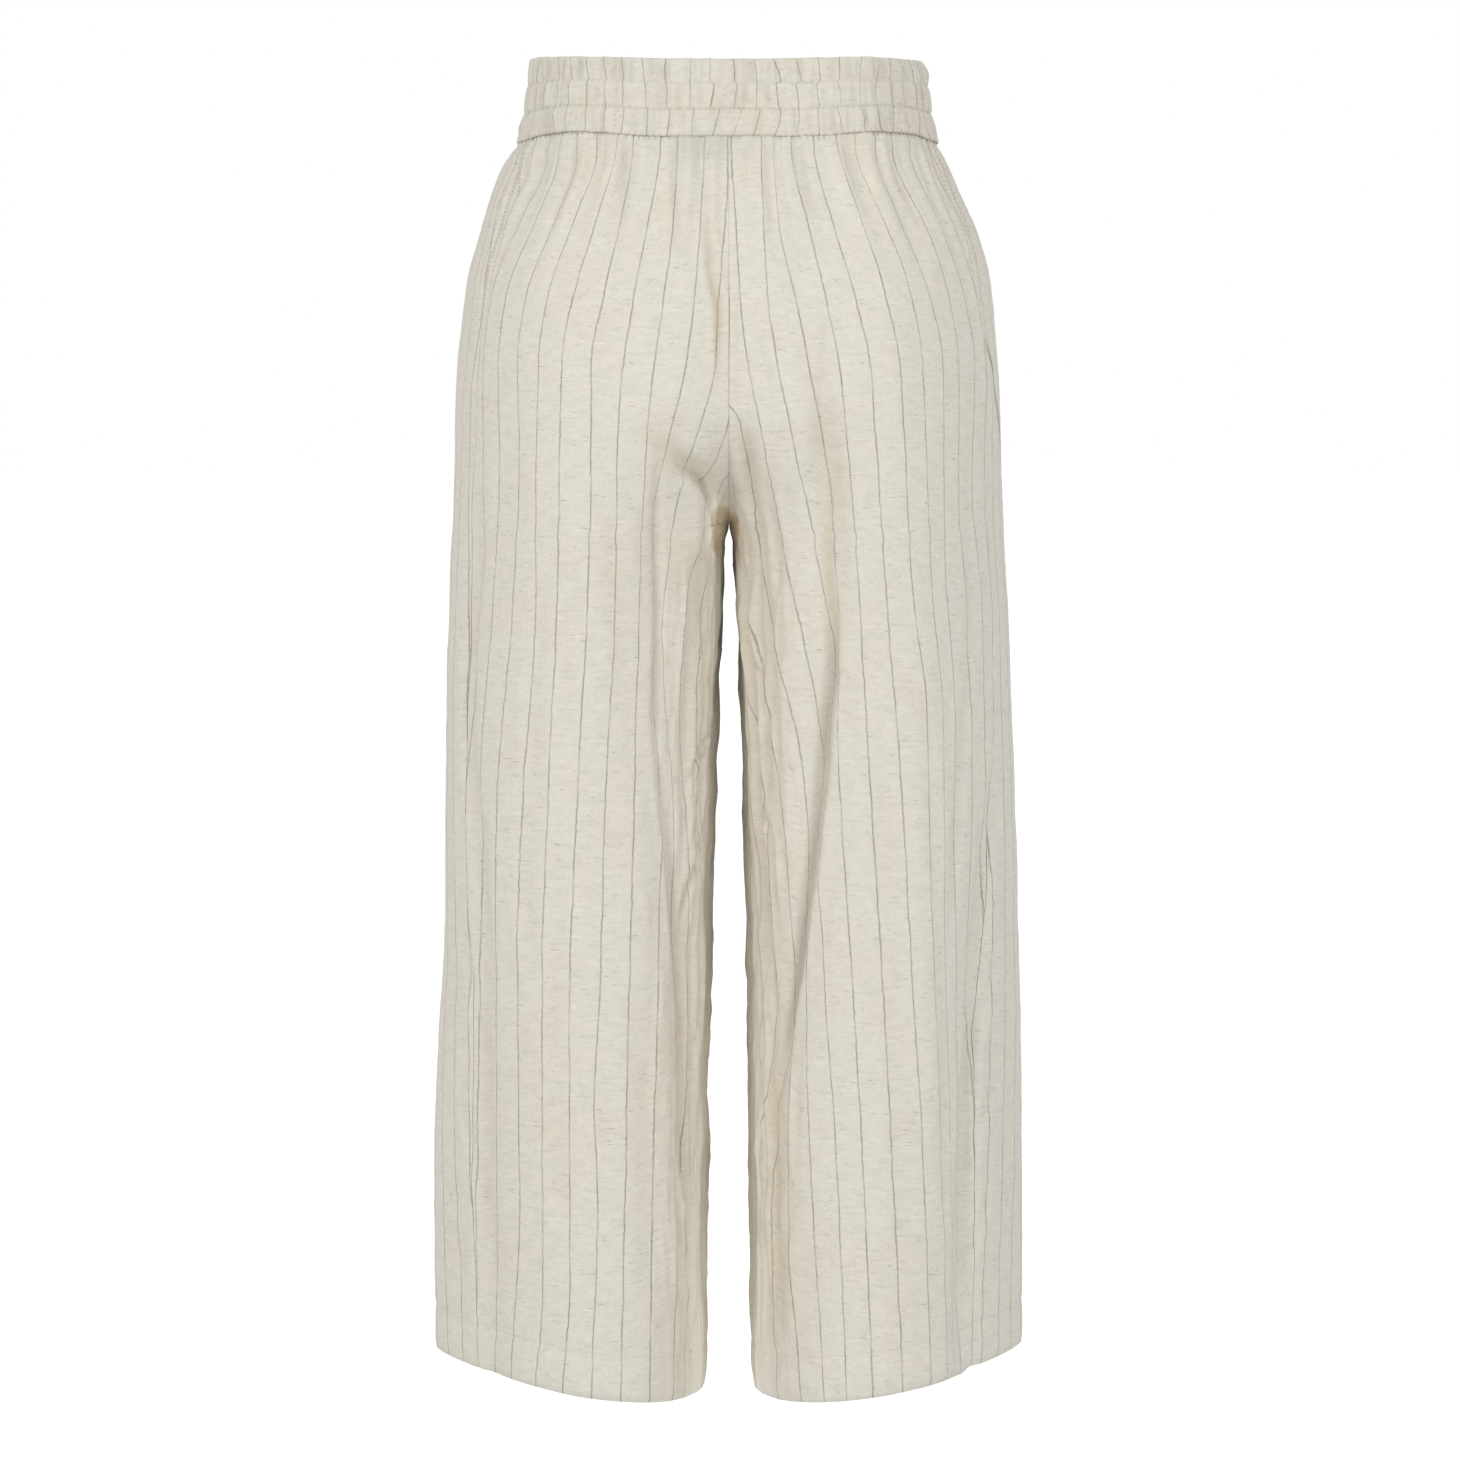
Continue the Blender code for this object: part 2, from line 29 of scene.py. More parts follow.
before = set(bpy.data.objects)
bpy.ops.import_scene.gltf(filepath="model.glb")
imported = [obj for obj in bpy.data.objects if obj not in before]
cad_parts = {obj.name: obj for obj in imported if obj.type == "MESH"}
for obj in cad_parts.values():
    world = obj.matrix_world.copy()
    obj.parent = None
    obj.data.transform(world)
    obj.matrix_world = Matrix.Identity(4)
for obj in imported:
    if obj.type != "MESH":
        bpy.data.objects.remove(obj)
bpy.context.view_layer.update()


# ================================================================ the cut ================================

# ---- sizes, mm ----
CLOTH = 1.5  # wall of a panel
CASING = 3.0  # wall of the waistband: folded cloth over elastic
TURN_UP = 1.2  # wall of the hem's inner layer
GAP = 0.3  # between pieces at a seam
HEM_DEPTH = 30.0  # height of the turn-up

BAND_TOP_BACK, BAND_TOP_SIDE, BAND_TOP_FRONT = 24.3, 28.8, 24.0  # the band's top edge dips a little at back and front
SEAM_BACK, SEAM_SIDE, SEAM_FRONT = -24.4, -28.7, -24.4  # the waist seam under it

TOP_Z = -26.5  # the panels' top row, before it follows the waist seam

CROTCH_Z = -278.0  # lowest point of the U, where the four panels meet
CROTCH_Y = 15.0
U_START_Z = -196.0  # where the seat and front seams start to curve under
HALF_GAP = 0.2  # left and right panels stand this far from x = 0 along the U
LEG_CROSSING = 0.4  # above the crotch each leg's ring reaches this much further past x = 0 for each millimetre of height

HEM_Z = -845.6  # hem line at the middle of a leg
HEM_TILT = 11.2  # the hem is this much higher at the leg's outer side and lower at its inner side
HEM_TILT_FROM = -470.0  # the rows start to tilt here
LEG_HALF = 88.0  # half the leg's width at the hem

# ---- sections: one row for each height ----
# side_l, side_r, side_y: the outermost point of the left and the right half. back, front: the furthest point back and forward. in_x: half the gap between the legs.
# mid_back, mid_front: the seat seam and the front seam before they curve under. mid_y: the innermost point of a leg ring.
# k_side, k_back: fullness of the outer back corner towards the side and towards the back, on the left and right leg.
# k_in: fullness of the inner back corner (0.55 is an ellipse).
SECTION_COLUMNS = "z side_l side_r side_y back_x back_y front_x front_y in_x mid_back mid_front mid_y k_side_l k_side_r k_back_l k_back_r k_in"
SECTIONS = (
    (-24.0, 139.0, 137.6, 0.0, 52.0, 100.0, 52.0, -95.5, 0.2, 99.0, -95.5, 15.0, 0.52, 0.52, 0.55, 0.55, 0.55),
    (-40.0, 149.6, 146.6, 1.0, 58.0, 107.0, 56.0, -100.5, 0.2, 105.0, -100.0, 15.0, 0.50, 0.50, 0.55, 0.55, 0.55),
    (-60.0, 157.3, 154.6, 3.0, 64.0, 115.0, 58.0, -105.5, 0.2, 112.0, -105.0, 15.0, 0.50, 0.50, 0.55, 0.55, 0.55),
    (-85.0, 164.4, 165.0, 4.0, 70.0, 124.0, 60.0, -110.0, 0.2, 121.5, -109.0, 15.0, 0.50, 0.50, 0.55, 0.55, 0.55),
    (-115.0, 173.3, 173.0, 6.0, 76.0, 132.0, 62.0, -114.5, 0.2, 128.5, -113.0, 15.0, 0.50, 0.50, 0.55, 0.55, 0.55),
    (-150.0, 177.9, 177.0, 7.0, 80.0, 138.5, 64.0, -118.0, 0.2, 133.5, -116.0, 15.0, 0.50, 0.46, 0.52, 0.56, 0.55),
    (-196.0, 181.2, 180.0, 8.0, 84.0, 141.5, 66.0, -119.5, 0.2, 135.5, -117.5, 15.0, 0.54, 0.40, 0.46, 0.58, 0.56),
    (-236.0, 182.2, 181.0, 8.0, 88.0, 140.0, 70.0, -118.5, 0.2, 132.5, -117.0, 15.0, 0.57, 0.36, 0.42, 0.58, 0.60),
    (-278.0, 183.6, 182.4, 8.0, 92.0, 136.5, 76.0, -117.0, 0.2, 128.0, -116.0, 15.0, 0.58, 0.34, 0.38, 0.56, 0.66),
    (-290.0, 184.2, 183.1, 8.0, 92.7, 135.2, 77.8, -116.6, 3.2, 127.0, -115.0, 15.0, 0.58, 0.34, 0.37, 0.56, 0.67),
    (-330.0, 186.3, 186.0, 8.0, 95.0, 130.9, 84.0, -115.0, 4.2, 124.0, -113.0, 14.0, 0.57, 0.34, 0.36, 0.54, 0.69),
    (-395.0, 188.8, 188.6, 8.0, 97.0, 125.0, 92.0, -111.5, 7.0, 120.0, -110.0, 12.0, 0.55, 0.33, 0.40, 0.53, 0.74),
    (-465.0, 189.8, 191.6, 8.0, 98.0, 121.0, 98.0, -107.5, 9.6, 116.0, -106.0, 10.0, 0.54, 0.32, 0.42, 0.53, 0.74),
    (-550.0, 190.9, 194.0, 6.0, 98.0, 117.5, 102.0, -103.5, 12.2, 112.0, -102.0, 9.0, 0.48, 0.31, 0.44, 0.53, 0.72),
    (-630.0, 195.2, 195.8, 4.0, 96.0, 115.0, 104.0, -100.5, 13.5, 110.0, -99.0, 8.0, 0.40, 0.29, 0.42, 0.52, 0.70),
    (-720.0, 198.4, 197.3, 2.0, 93.0, 113.0, 105.0, -98.0, 14.6, 108.0, -97.0, 6.0, 0.36, 0.27, 0.36, 0.50, 0.67),
    (-800.0, 198.3, 197.9, 0.0, 91.0, 111.0, 106.0, -96.5, 15.4, 107.0, -96.0, 4.0, 0.30, 0.25, 0.35, 0.48, 0.64),
    (-860.0, 198.0, 198.0, 0.0, 90.0, 110.0, 106.0, -96.0, 17.0, 107.0, -96.0, 3.0, 0.28, 0.25, 0.33, 0.47, 0.62),
)

# How far the side seam lies in from the outermost point, towards the back, and the inseam's place along y.
SEAM_COLUMNS = "z side_l side_r inseam_y"
SEAMS = (
    (-24.0, 6.0, 5.0, 15.0),
    (-60.0, 13.0, 8.0, 15.0),
    (-115.0, 16.0, 10.0, 15.0),
    (-196.0, 17.0, 11.0, 15.0),
    (-278.0, 15.0, 12.0, 15.0),
    (-395.0, 15.0, 14.0, 40.0),
    (-500.0, 17.0, 20.0, 44.0),
    (-630.0, 26.0, 32.0, 40.0),
    (-860.0, 31.0, 35.0, 36.0),
)

# Waistband: share of its height from the top, and how far it stands out there from the top of the panels. Two rows of
# stitching pinch it into three tunnels, and the lowest one flares out to the waist seam.
BAND_COLUMNS = "share out"
BAND = (
    (0.00, -8.9),
    (0.16, -7.2),
    (0.35, -7.7),
    (0.50, -5.7),
    (0.63, -5.8),
    (0.86, 0.9),
    (1.00, 1.5),
)

# ---- the largest folds: one row each. path is (height, distance from the centre plane). Depth inward is positive. ----
FOLD_COLUMNS = "side face depth half_width path"
FOLDS = (
    ("left", "back", 5.0, 15.0, ((-215.0, 44.0), (-328.0, 45.0), (-458.0, 41.0), (-582.0, 31.0), (-745.0, 25.0))),
    ("left", "back", 3.0, 13.0, ((-250.0, 164.0), (-400.0, 170.0), (-550.0, 162.0), (-852.0, 157.0))),
    ("left", "back", -2.0, 16.0, ((-250.0, 75.0), (-360.0, 74.0), (-450.0, 70.0))),
    ("right", "back", 5.0, 14.0, ((-190.0, 62.0), (-289.0, 65.0), (-367.0, 67.0), (-497.0, 59.0), (-595.0, 40.0), (-660.0, 32.0))),
    ("right", "back", -3.0, 14.0, ((-300.0, 38.0), (-420.0, 42.0), (-560.0, 36.0))),
    ("right", "back", 4.0, 13.0, ((-420.0, 180.0), (-517.0, 166.0), (-680.0, 156.0), (-852.0, 156.0))),
    ("right", "back", -2.5, 16.0, ((-330.0, 128.0), (-500.0, 132.0), (-700.0, 130.0))),
    ("left", "front", 4.0, 17.0, ((-150.0, 84.0), (-330.0, 92.0), (-560.0, 88.0), (-852.0, 92.0))),
    ("left", "front", 3.0, 15.0, ((-260.0, 30.0), (-420.0, 40.0), (-640.0, 38.0))),
    ("right", "front", 4.5, 17.0, ((-130.0, 80.0), (-330.0, 86.0), (-560.0, 94.0), (-852.0, 88.0))),
    ("right", "front", 3.0, 15.0, ((-250.0, 34.0), (-450.0, 36.0), (-680.0, 42.0))),
    ("right", "front", -2.5, 15.0, ((-420.0, 128.0), (-600.0, 132.0), (-852.0, 134.0))),
)
# The largest gathers below the waist seam: where they start, where they fade out, and their depth.
GATHER_COLUMNS = "side face x_top x_low z_low depth half_width"
GATHERS = (
    ("left", "back", 118.0, 138.0, -120.0, 2.4, 10.0),
    ("left", "back", 88.0, 100.0, -150.0, 2.2, 10.0),
    ("left", "back", 56.0, 62.0, -130.0, 2.6, 10.0),
    ("right", "back", 108.0, 128.0, -140.0, 2.4, 10.0),
    ("right", "back", 78.0, 90.0, -120.0, 2.2, 10.0),
    ("right", "back", 46.0, 52.0, -150.0, 2.6, 10.0),
    ("left", "front", 110.0, 126.0, -130.0, 2.4, 11.0),
    ("left", "front", 76.0, 84.0, -150.0, 2.6, 11.0),
    ("left", "front", 40.0, 44.0, -120.0, 2.2, 11.0),
    ("right", "front", 104.0, 120.0, -150.0, 2.4, 11.0),
    ("right", "front", 70.0, 78.0, -120.0, 2.6, 11.0),
    ("right", "front", 36.0, 40.0, -140.0, 2.2, 11.0),
)
POCKET_LIP_Z, POCKET_LIP_REACH, POCKET_LIP_OUT = -177.0, 26.0, 1.6  # the right pocket's mouth stands out a little at its lower end

EVEN_TOP, EVEN_LOW = -140.0, -360.0  # between these heights the columns ignore how fast the U grows


def table(columns, rows):
    """A table's columns by name, with the heights rising so that they can be interpolated."""
    data = np.array(sorted(rows), float)
    return dict(zip(columns.split(), data.T))


def smooth_at(x, xs, ys):
    """A smooth curve through the points (xs, ys), read at x. Its slopes are limited so that it never overshoots."""
    x = np.clip(x, xs[0], xs[-1])
    h = np.diff(xs)
    d = np.diff(ys) / h
    m = np.zeros(len(xs))
    m[0], m[-1] = d[0], d[-1]
    for i in range(1, len(xs) - 1):
        if d[i - 1] * d[i] > 0:
            w1, w2 = 2 * h[i] + h[i - 1], h[i] + 2 * h[i - 1]
            m[i] = (w1 + w2) / (w1 / d[i - 1] + w2 / d[i])
    i = np.clip(np.searchsorted(xs, x) - 1, 0, len(h) - 1)
    t = (x - xs[i]) / h[i]
    a, b, c, e = (1 + 2 * t) * (1 - t) ** 2, t * (1 - t) ** 2, t * t * (3 - 2 * t), t * t * (t - 1)
    return a * ys[i] + b * h[i] * m[i] + c * ys[i + 1] + e * h[i] * m[i + 1]


def soft_step(x, low, high):
    t = np.clip((x - low) / (high - low), 0, 1)
    return t * t * (3 - 2 * t)


def bezier(p0, p1, p2, p3, n=48):
    t = np.linspace(0, 1, n + 1)[:, None]
    p0, p1, p2, p3 = (np.array(p, float)[None] for p in (p0, p1, p2, p3))
    return (1 - t) ** 3 * p0 + 3 * t * (1 - t) ** 2 * p1 + 3 * t * t * (1 - t) * p2 + t**3 * p3


def even_points(line, n=48):
    """A line's points moved to even distances along it."""
    gone = np.concatenate(([0.0], np.cumsum(np.linalg.norm(np.diff(line, axis=0), axis=1))))
    d = np.linspace(0, gone[-1], n + 1)
    return np.stack([np.interp(d, gone, line[:, i]) for i in (0, 1)], -1)


def inner_part(z, row, face):
    """The part of a section from its furthest point back (or forward) to its end. Under the crotch it is a quarter of
    the leg's ring. In the U it is the ring of a leg that crosses the centre plane, cut off there, and further up it turns
    into a line that runs nearly straight across to the seat (or front) seam."""
    sign = 1.0 if face == "back" else -1.0
    k = row["k_in"] if face == "back" else 0.6
    far = np.array((row[face + "_x"], row[face + "_y"]))
    tip = np.array((row["in_x"] - LEG_CROSSING * max(z - CROTCH_Z, 0.0), row["mid_y"]))
    ring = bezier(far, far - (k * (far[0] - tip[0]), 0), tip + (0, k * (far[1] - tip[1])), tip)
    if tip[0] < HALF_GAP:
        i = int(np.argmax(ring[:, 0] < HALF_GAP))
        t = (ring[i - 1, 0] - HALF_GAP) / (ring[i - 1, 0] - ring[i, 0])
        ring = np.vstack((ring[:i], ring[i - 1] + t * (ring[i] - ring[i - 1])))
    ring = even_points(ring)
    low = soft_step(-z, -U_START_Z, -CROTCH_Z)
    if low == 1.0:
        return ring
    end = np.array((HALF_GAP, row["mid_" + face]))
    turn = np.clip((far[1] - end[1]) * sign / 22.0, 0, 1) * pi / 2
    grip = k * (np.cos(turn) * (far[0] - end[0]) + np.sin(turn) * abs(far[1] - end[1]))
    across = even_points(bezier(far, far - (k * (far[0] - end[0]), 0), end + grip * np.array((np.cos(turn), sign * np.sin(turn))), end))
    return across + (ring - across) * low


def section(z, side):
    """The outer line of the cloth at a height, as points with their distance along it, and where its seams lie."""
    cols = table(SECTION_COLUMNS, SECTIONS)
    row = {name: float(smooth_at(np.array(z), cols["z"], ys)) for name, ys in cols.items() if name != "z"}
    k_side = row["k_side_l"] if side == "left" else row["k_side_r"]
    s = np.array((row["side_l" if side == "left" else "side_r"], row["side_y"]))
    b = np.array((row["back_x"], row["back_y"]))
    f = np.array((row["front_x"], row["front_y"]))
    k, kb = 0.55, row["k_back_l" if side == "left" else "k_back_r"]
    legs = (
        inner_part(z, row, "front")[::-1],
        bezier(f, f + (k * (s[0] - f[0]), 0), s - (0, k * (s[1] - f[1])), s),
        bezier(s, s + (0, k_side * (b[1] - s[1])), b + (kb * (s[0] - b[0]), 0), b),
        inner_part(z, row, "back"),
    )
    pts = np.vstack([legs[0]] + [leg[1:] for leg in legs[1:]])
    along = np.concatenate(([0.0], np.cumsum(np.linalg.norm(np.diff(pts, axis=0), axis=1))))
    n = len(legs[0]) - 1
    seams = table(SEAM_COLUMNS, SEAMS)
    inset = float(smooth_at(np.array(z), seams["z"], seams["side_l" if side == "left" else "side_r"]))
    at_side = along_at(pts, along, 2 * n, 3 * n, s[0] - inset)
    if z < CROTCH_Z - 1e-6:
        # A closed ring: it starts and ends at the inseam, which lies a little towards the back.
        inseam_y = float(smooth_at(np.array(z), seams["z"], seams["inseam_y"]))
        ys = pts[3 * n :, 1][::-1]
        cut = float(np.interp(max(inseam_y, ys[0]), ys, along[3 * n :][::-1]))
    else:
        cut = along[-1]
    return pts, along, at_side, cut, (2 * n, 3 * n, n)


def along_at(pts, along, i0, i1, x):
    """The distance along a section at which its x falls to a value, between two of its points."""
    xs, ds = pts[i0 : i1 + 1, 0], along[i0 : i1 + 1]
    return float(np.interp(-x, -xs, ds)) if xs[0] > xs[-1] else float(np.interp(x, xs, ds))


def point_at(pts, along, d):
    """Points and outward directions at distances along a section. Below the crotch the distances run round the ring."""
    total = along[-1]
    closed = np.linalg.norm(pts[0] - pts[-1]) < 1e-6
    dd = np.mod(d, total) if closed else np.clip(d, 0, total)
    p = np.stack([np.interp(dd, along, pts[:, i]) for i in (0, 1)], -1)
    step = 0.6
    lo, hi = (np.mod(dd - step, total), np.mod(dd + step, total)) if closed else (np.clip(dd - step, 0, total), np.clip(dd + step, 0, total))
    a = np.stack([np.interp(lo, along, pts[:, i]) for i in (0, 1)], -1)
    b = np.stack([np.interp(hi, along, pts[:, i]) for i in (0, 1)], -1)
    t = b - a
    t /= np.linalg.norm(t, axis=-1, keepdims=True)
    return p, np.stack((t[:, 1], -t[:, 0]), -1)


def fold_reach(z, top, low, fade):
    """1 along a fold and 0 beyond its ends. A fold that runs out at the hem or the waist isn't faded there."""
    up = 1.0 if top > -40 else soft_step(-z, -top, -top + fade)
    down = 1.0 if low < -845 else 1 - soft_step(-z, -low - fade, -low)
    return up * down


def inward(z, side, d, sec):
    """How far the folds, the gathers and the pocket's lip move the points at distances d along the section at z."""
    pts, along, at_side, cut, (i_side, i_back, i_front) = sec
    move = np.zeros(len(d))
    rows = [(s, f, dep, w, path, 60.0) for s, f, dep, w, path in FOLDS]
    rows += [(s, f, dep, w, ((-20.0, x0), (z1, x1)), 70.0) for s, f, x0, x1, z1, dep, w in GATHERS]
    for s, face, depth, width, path, fade in rows:
        if s != side or not (path[-1][0] <= z <= path[0][0]):
            continue
        ph = np.array(path[::-1])
        x = float(smooth_at(np.array(z), ph[:, 0], ph[:, 1]))
        centre = along_at(pts, along, i_side, len(pts) - 1, x) if face == "back" else along_at(pts, along, 0, i_side, x)
        move += depth * fold_reach(z, path[0][0], path[-1][0], fade) * np.exp(-(((d - centre) / width) ** 2))
    if side == "right":
        lip = np.exp(-(((z - POCKET_LIP_Z) / POCKET_LIP_REACH) ** 2)) * np.exp(-(((d - at_side + 9.0) / 9.0) ** 2))
        move -= POCKET_LIP_OUT * lip
    return move


def tilt(z, x):
    """The rows of a leg tilt towards the hem, so that its outer side is higher."""
    return HEM_TILT * soft_step(-z, -HEM_TILT_FROM, -HEM_Z) * (x - (197.0 + 17.0) / 2) / LEG_HALF


def seam_height(x, y, side_z, back_z, front_z, half_x):
    """The height of a line round the waist that is higher or lower at the sides than at back and front."""
    out = np.clip(np.abs(x) / half_x, 0, 1) ** 2.2
    middle = np.where(y > 0, back_z, front_z)
    return middle + (side_z - middle) * out


def reach_of(z, side, face):
    """A panel's two edges at a height, as distances along the section: the side seam's first."""
    sec = section(z, side)
    pts, along, at_side, cut, _ = sec
    below = z < CROTCH_Z - 1e-6
    edge = GAP / 2 if z <= CROTCH_Z + 1e-6 else 0.0
    if face == "front":
        return sec, at_side - GAP / 2, (cut - along[-1] if below else 0.0) + edge
    return sec, at_side + GAP / 2, cut - edge


# ================================================================ the fine surface ================================

THIN = 0.7  # the cloth's thickness as it shows
PITCH = 19.3  # from stripe to stripe in the flat cloth

# Fullness taken up by the gathers under the waist seam: length of cloth for each millimetre along the section.
GATHERED = ((-24.0, 1.36), (-40.0, 1.30), (-66.0, 1.19), (-86.0, 1.12), (-105.0, 1.05), (-132.0, 1.0))

# How the grain hangs: the paths that some of the stripes take. n is the stripe's number, counted outwards from the middle
# of the panel. path is (height, distance from the centre plane). Between two of them the cloth is spread evenly.
GRAIN_COLUMNS = "side face n path"
GRAIN = (
    ("left", "back", 4, ((-45, 99), (-86, 115), (-131, 131), (-170, 136), (-234, 135), (-325, 140), (-456, 151), (-560, 153), (-790, 155), (-846, 157))),
    ("left", "back", 3, ((-41, 87), (-86, 103), (-131, 117), (-170, 122), (-250, 124), (-324, 125), (-455, 134), (-560, 138), (-720, 137), (-842, 144))),
    ("left", "back", 2, ((-41, 72), (-87, 87), (-131, 100), (-170, 107), (-250, 109), (-324, 111), (-454, 117), (-585, 122), (-784, 122), (-839, 127))),
    ("left", "back", 1, ((-41, 62), (-87, 71), (-131, 80.5), (-170, 88), (-220, 88), (-324, 91), (-453, 98), (-600, 104), (-783, 104), (-836, 109))),
    ("left", "back", 0, ((-41, 44), (-87, 53), (-131, 61), (-170, 67), (-214, 71), (-324, 73), (-454, 80), (-584, 84), (-650, 88), (-716, 85.5), (-835, 90))),
    ("left", "back", -1, ((-41, 33), (-87, 36), (-131, 41.5), (-170, 47), (-214, 52), (-253, 54), (-324, 57), (-454, 61), (-585, 65), (-717, 68), (-836, 71))),
    ("left", "back", -2, ((-41, 15.5), (-87, 18.5), (-131, 22), (-170, 27), (-214, 37), (-245, 44), (-270, 45.5), (-389, 45), (-455, 41), (-520, 43.5), (-652, 48.5), (-838, 52.5))),
    ("left", "back", -3, ((-67, 1.5), (-131, 6.5), (-170, 8), (-195, 13), (-234, 26), (-265, 33), (-298, 37.5), (-324, 41), (-355, 42), (-389, 40), (-455, 34), (-587, 32.5), (-841, 37.5))),
    ("left", "back", -4, ((-214, 1), (-234, 8.5), (-254, 17), (-275, 17.5), (-299, 22), (-325, 28), (-390, 31), (-455, 27.5), (-587, 25.5), (-787, 28.5), (-841, 29.5))),
    ("left", "back", -5, ((-273, 8), (-299, 12.5), (-326, 18), (-390, 22.5), (-455, 20.5), (-521, 18.5), (-587, 19), (-841, 21.5))),
    ("right", "back", 5, ((-40, 119), (-66, 130), (-100, 143.5), (-131, 154), (-170, 160), (-254, 158.5), (-326, 164.5), (-456, 169))),
    ("right", "back", 4, ((-41, 108), (-66, 120.5), (-105, 136), (-131, 143), (-170, 148.5), (-273, 149.5), (-325, 155), (-456, 159), (-588, 157.5))),
    ("right", "back", 3, ((-41, 95.5), (-86, 114), (-131, 130.5), (-170, 138), (-298, 139.5), (-390, 146), (-521, 147.5), (-654, 150), (-789, 153), (-846, 156.5))),
    ("right", "back", 2, ((-41, 82.5), (-67, 94.5), (-131, 118), (-170, 124.5), (-253, 128), (-324, 131.5), (-389, 137), (-521, 139.5), (-654, 144.5), (-789, 149), (-846, 151))),
    ("right", "back", 1, ((-41, 69.5), (-67, 80), (-131, 100.5), (-170, 109), (-214, 112), (-324, 119), (-389, 126.5), (-520, 131), (-652, 137), (-787, 143.5), (-846, 145))),
    ("right", "back", 0, ((-41, 54.5), (-87, 68), (-131, 81), (-170, 90), (-214, 93.5), (-324, 101.5), (-454, 112), (-585, 119.5), (-718, 128), (-839, 133))),
    ("right", "back", -1, ((-41, 40), (-67, 47), (-131, 62), (-170, 70), (-214, 75), (-324, 84), (-454, 92), (-584, 100.5), (-716, 108), (-837, 114))),
    ("right", "back", -2, ((-41, 28.5), (-87, 32.5), (-131, 43), (-170, 50.5), (-214, 59.5), (-245, 63.5), (-298, 66), (-350, 70.5), (-454, 72), (-519, 76.5), (-584, 81), (-716, 88.5), (-835, 94))),
    ("right", "back", -3, ((-41, 21), (-131, 25), (-170, 30.5), (-214, 39.5), (-253, 48), (-298, 57), (-324, 62), (-362, 68.3), (-403, 64.8), (-459, 60.7), (-493, 57), (-515, 58.5), (-587, 62.5), (-651, 68), (-836, 77))),
    ("right", "back", -4, ((-41, 2), (-131, 8), (-170, 12), (-234, 25), (-298, 37.5), (-356, 50), (-420, 60), (-434, 61.6), (-459, 59.2), (-493, 55.5), (-530, 51), (-586, 50), (-717, 55), (-837, 62.5))),
    ("right", "back", -5, ((-214, 7.5), (-253, 14), (-325, 25.5), (-360, 33), (-390, 41), (-421, 47), (-493, 51.5), (-530, 48.2), (-580, 41.5), (-605, 40.5), (-719, 39.5), (-839, 47.5))),
    ("right", "back", -6, ((-254, 3), (-301, 10), (-327, 14.5), (-360, 21.5), (-425, 31.5), (-493, 39.5), (-550, 41), (-605, 36.5), (-680, 30.5), (-722, 29), (-842, 32.5))),
    ("right", "back", -7, ((-340, 6.5), (-372, 10), (-390, 14.5), (-425, 20.5), (-456, 25.5), (-493, 28.5), (-556, 31.5), (-620, 28), (-656, 24.5), (-725, 21), (-847, 23.5))),
    ("left", "front", 0, ((-26, 62), (-60, 74), (-100, 84), (-150, 89), (-210, 90), (-846, 91))),
    ("left", "front", -3, ((-26, 21), (-60, 25), (-100, 29), (-150, 31.5), (-210, 32), (-846, 35))),
    ("right", "front", 0, ((-26, 60), (-60, 72), (-100, 82), (-150, 87), (-210, 88), (-846, 90))),
    ("right", "front", -3, ((-26, 19), (-60, 23), (-100, 27), (-150, 29.5), (-210, 30), (-846, 34))),
)

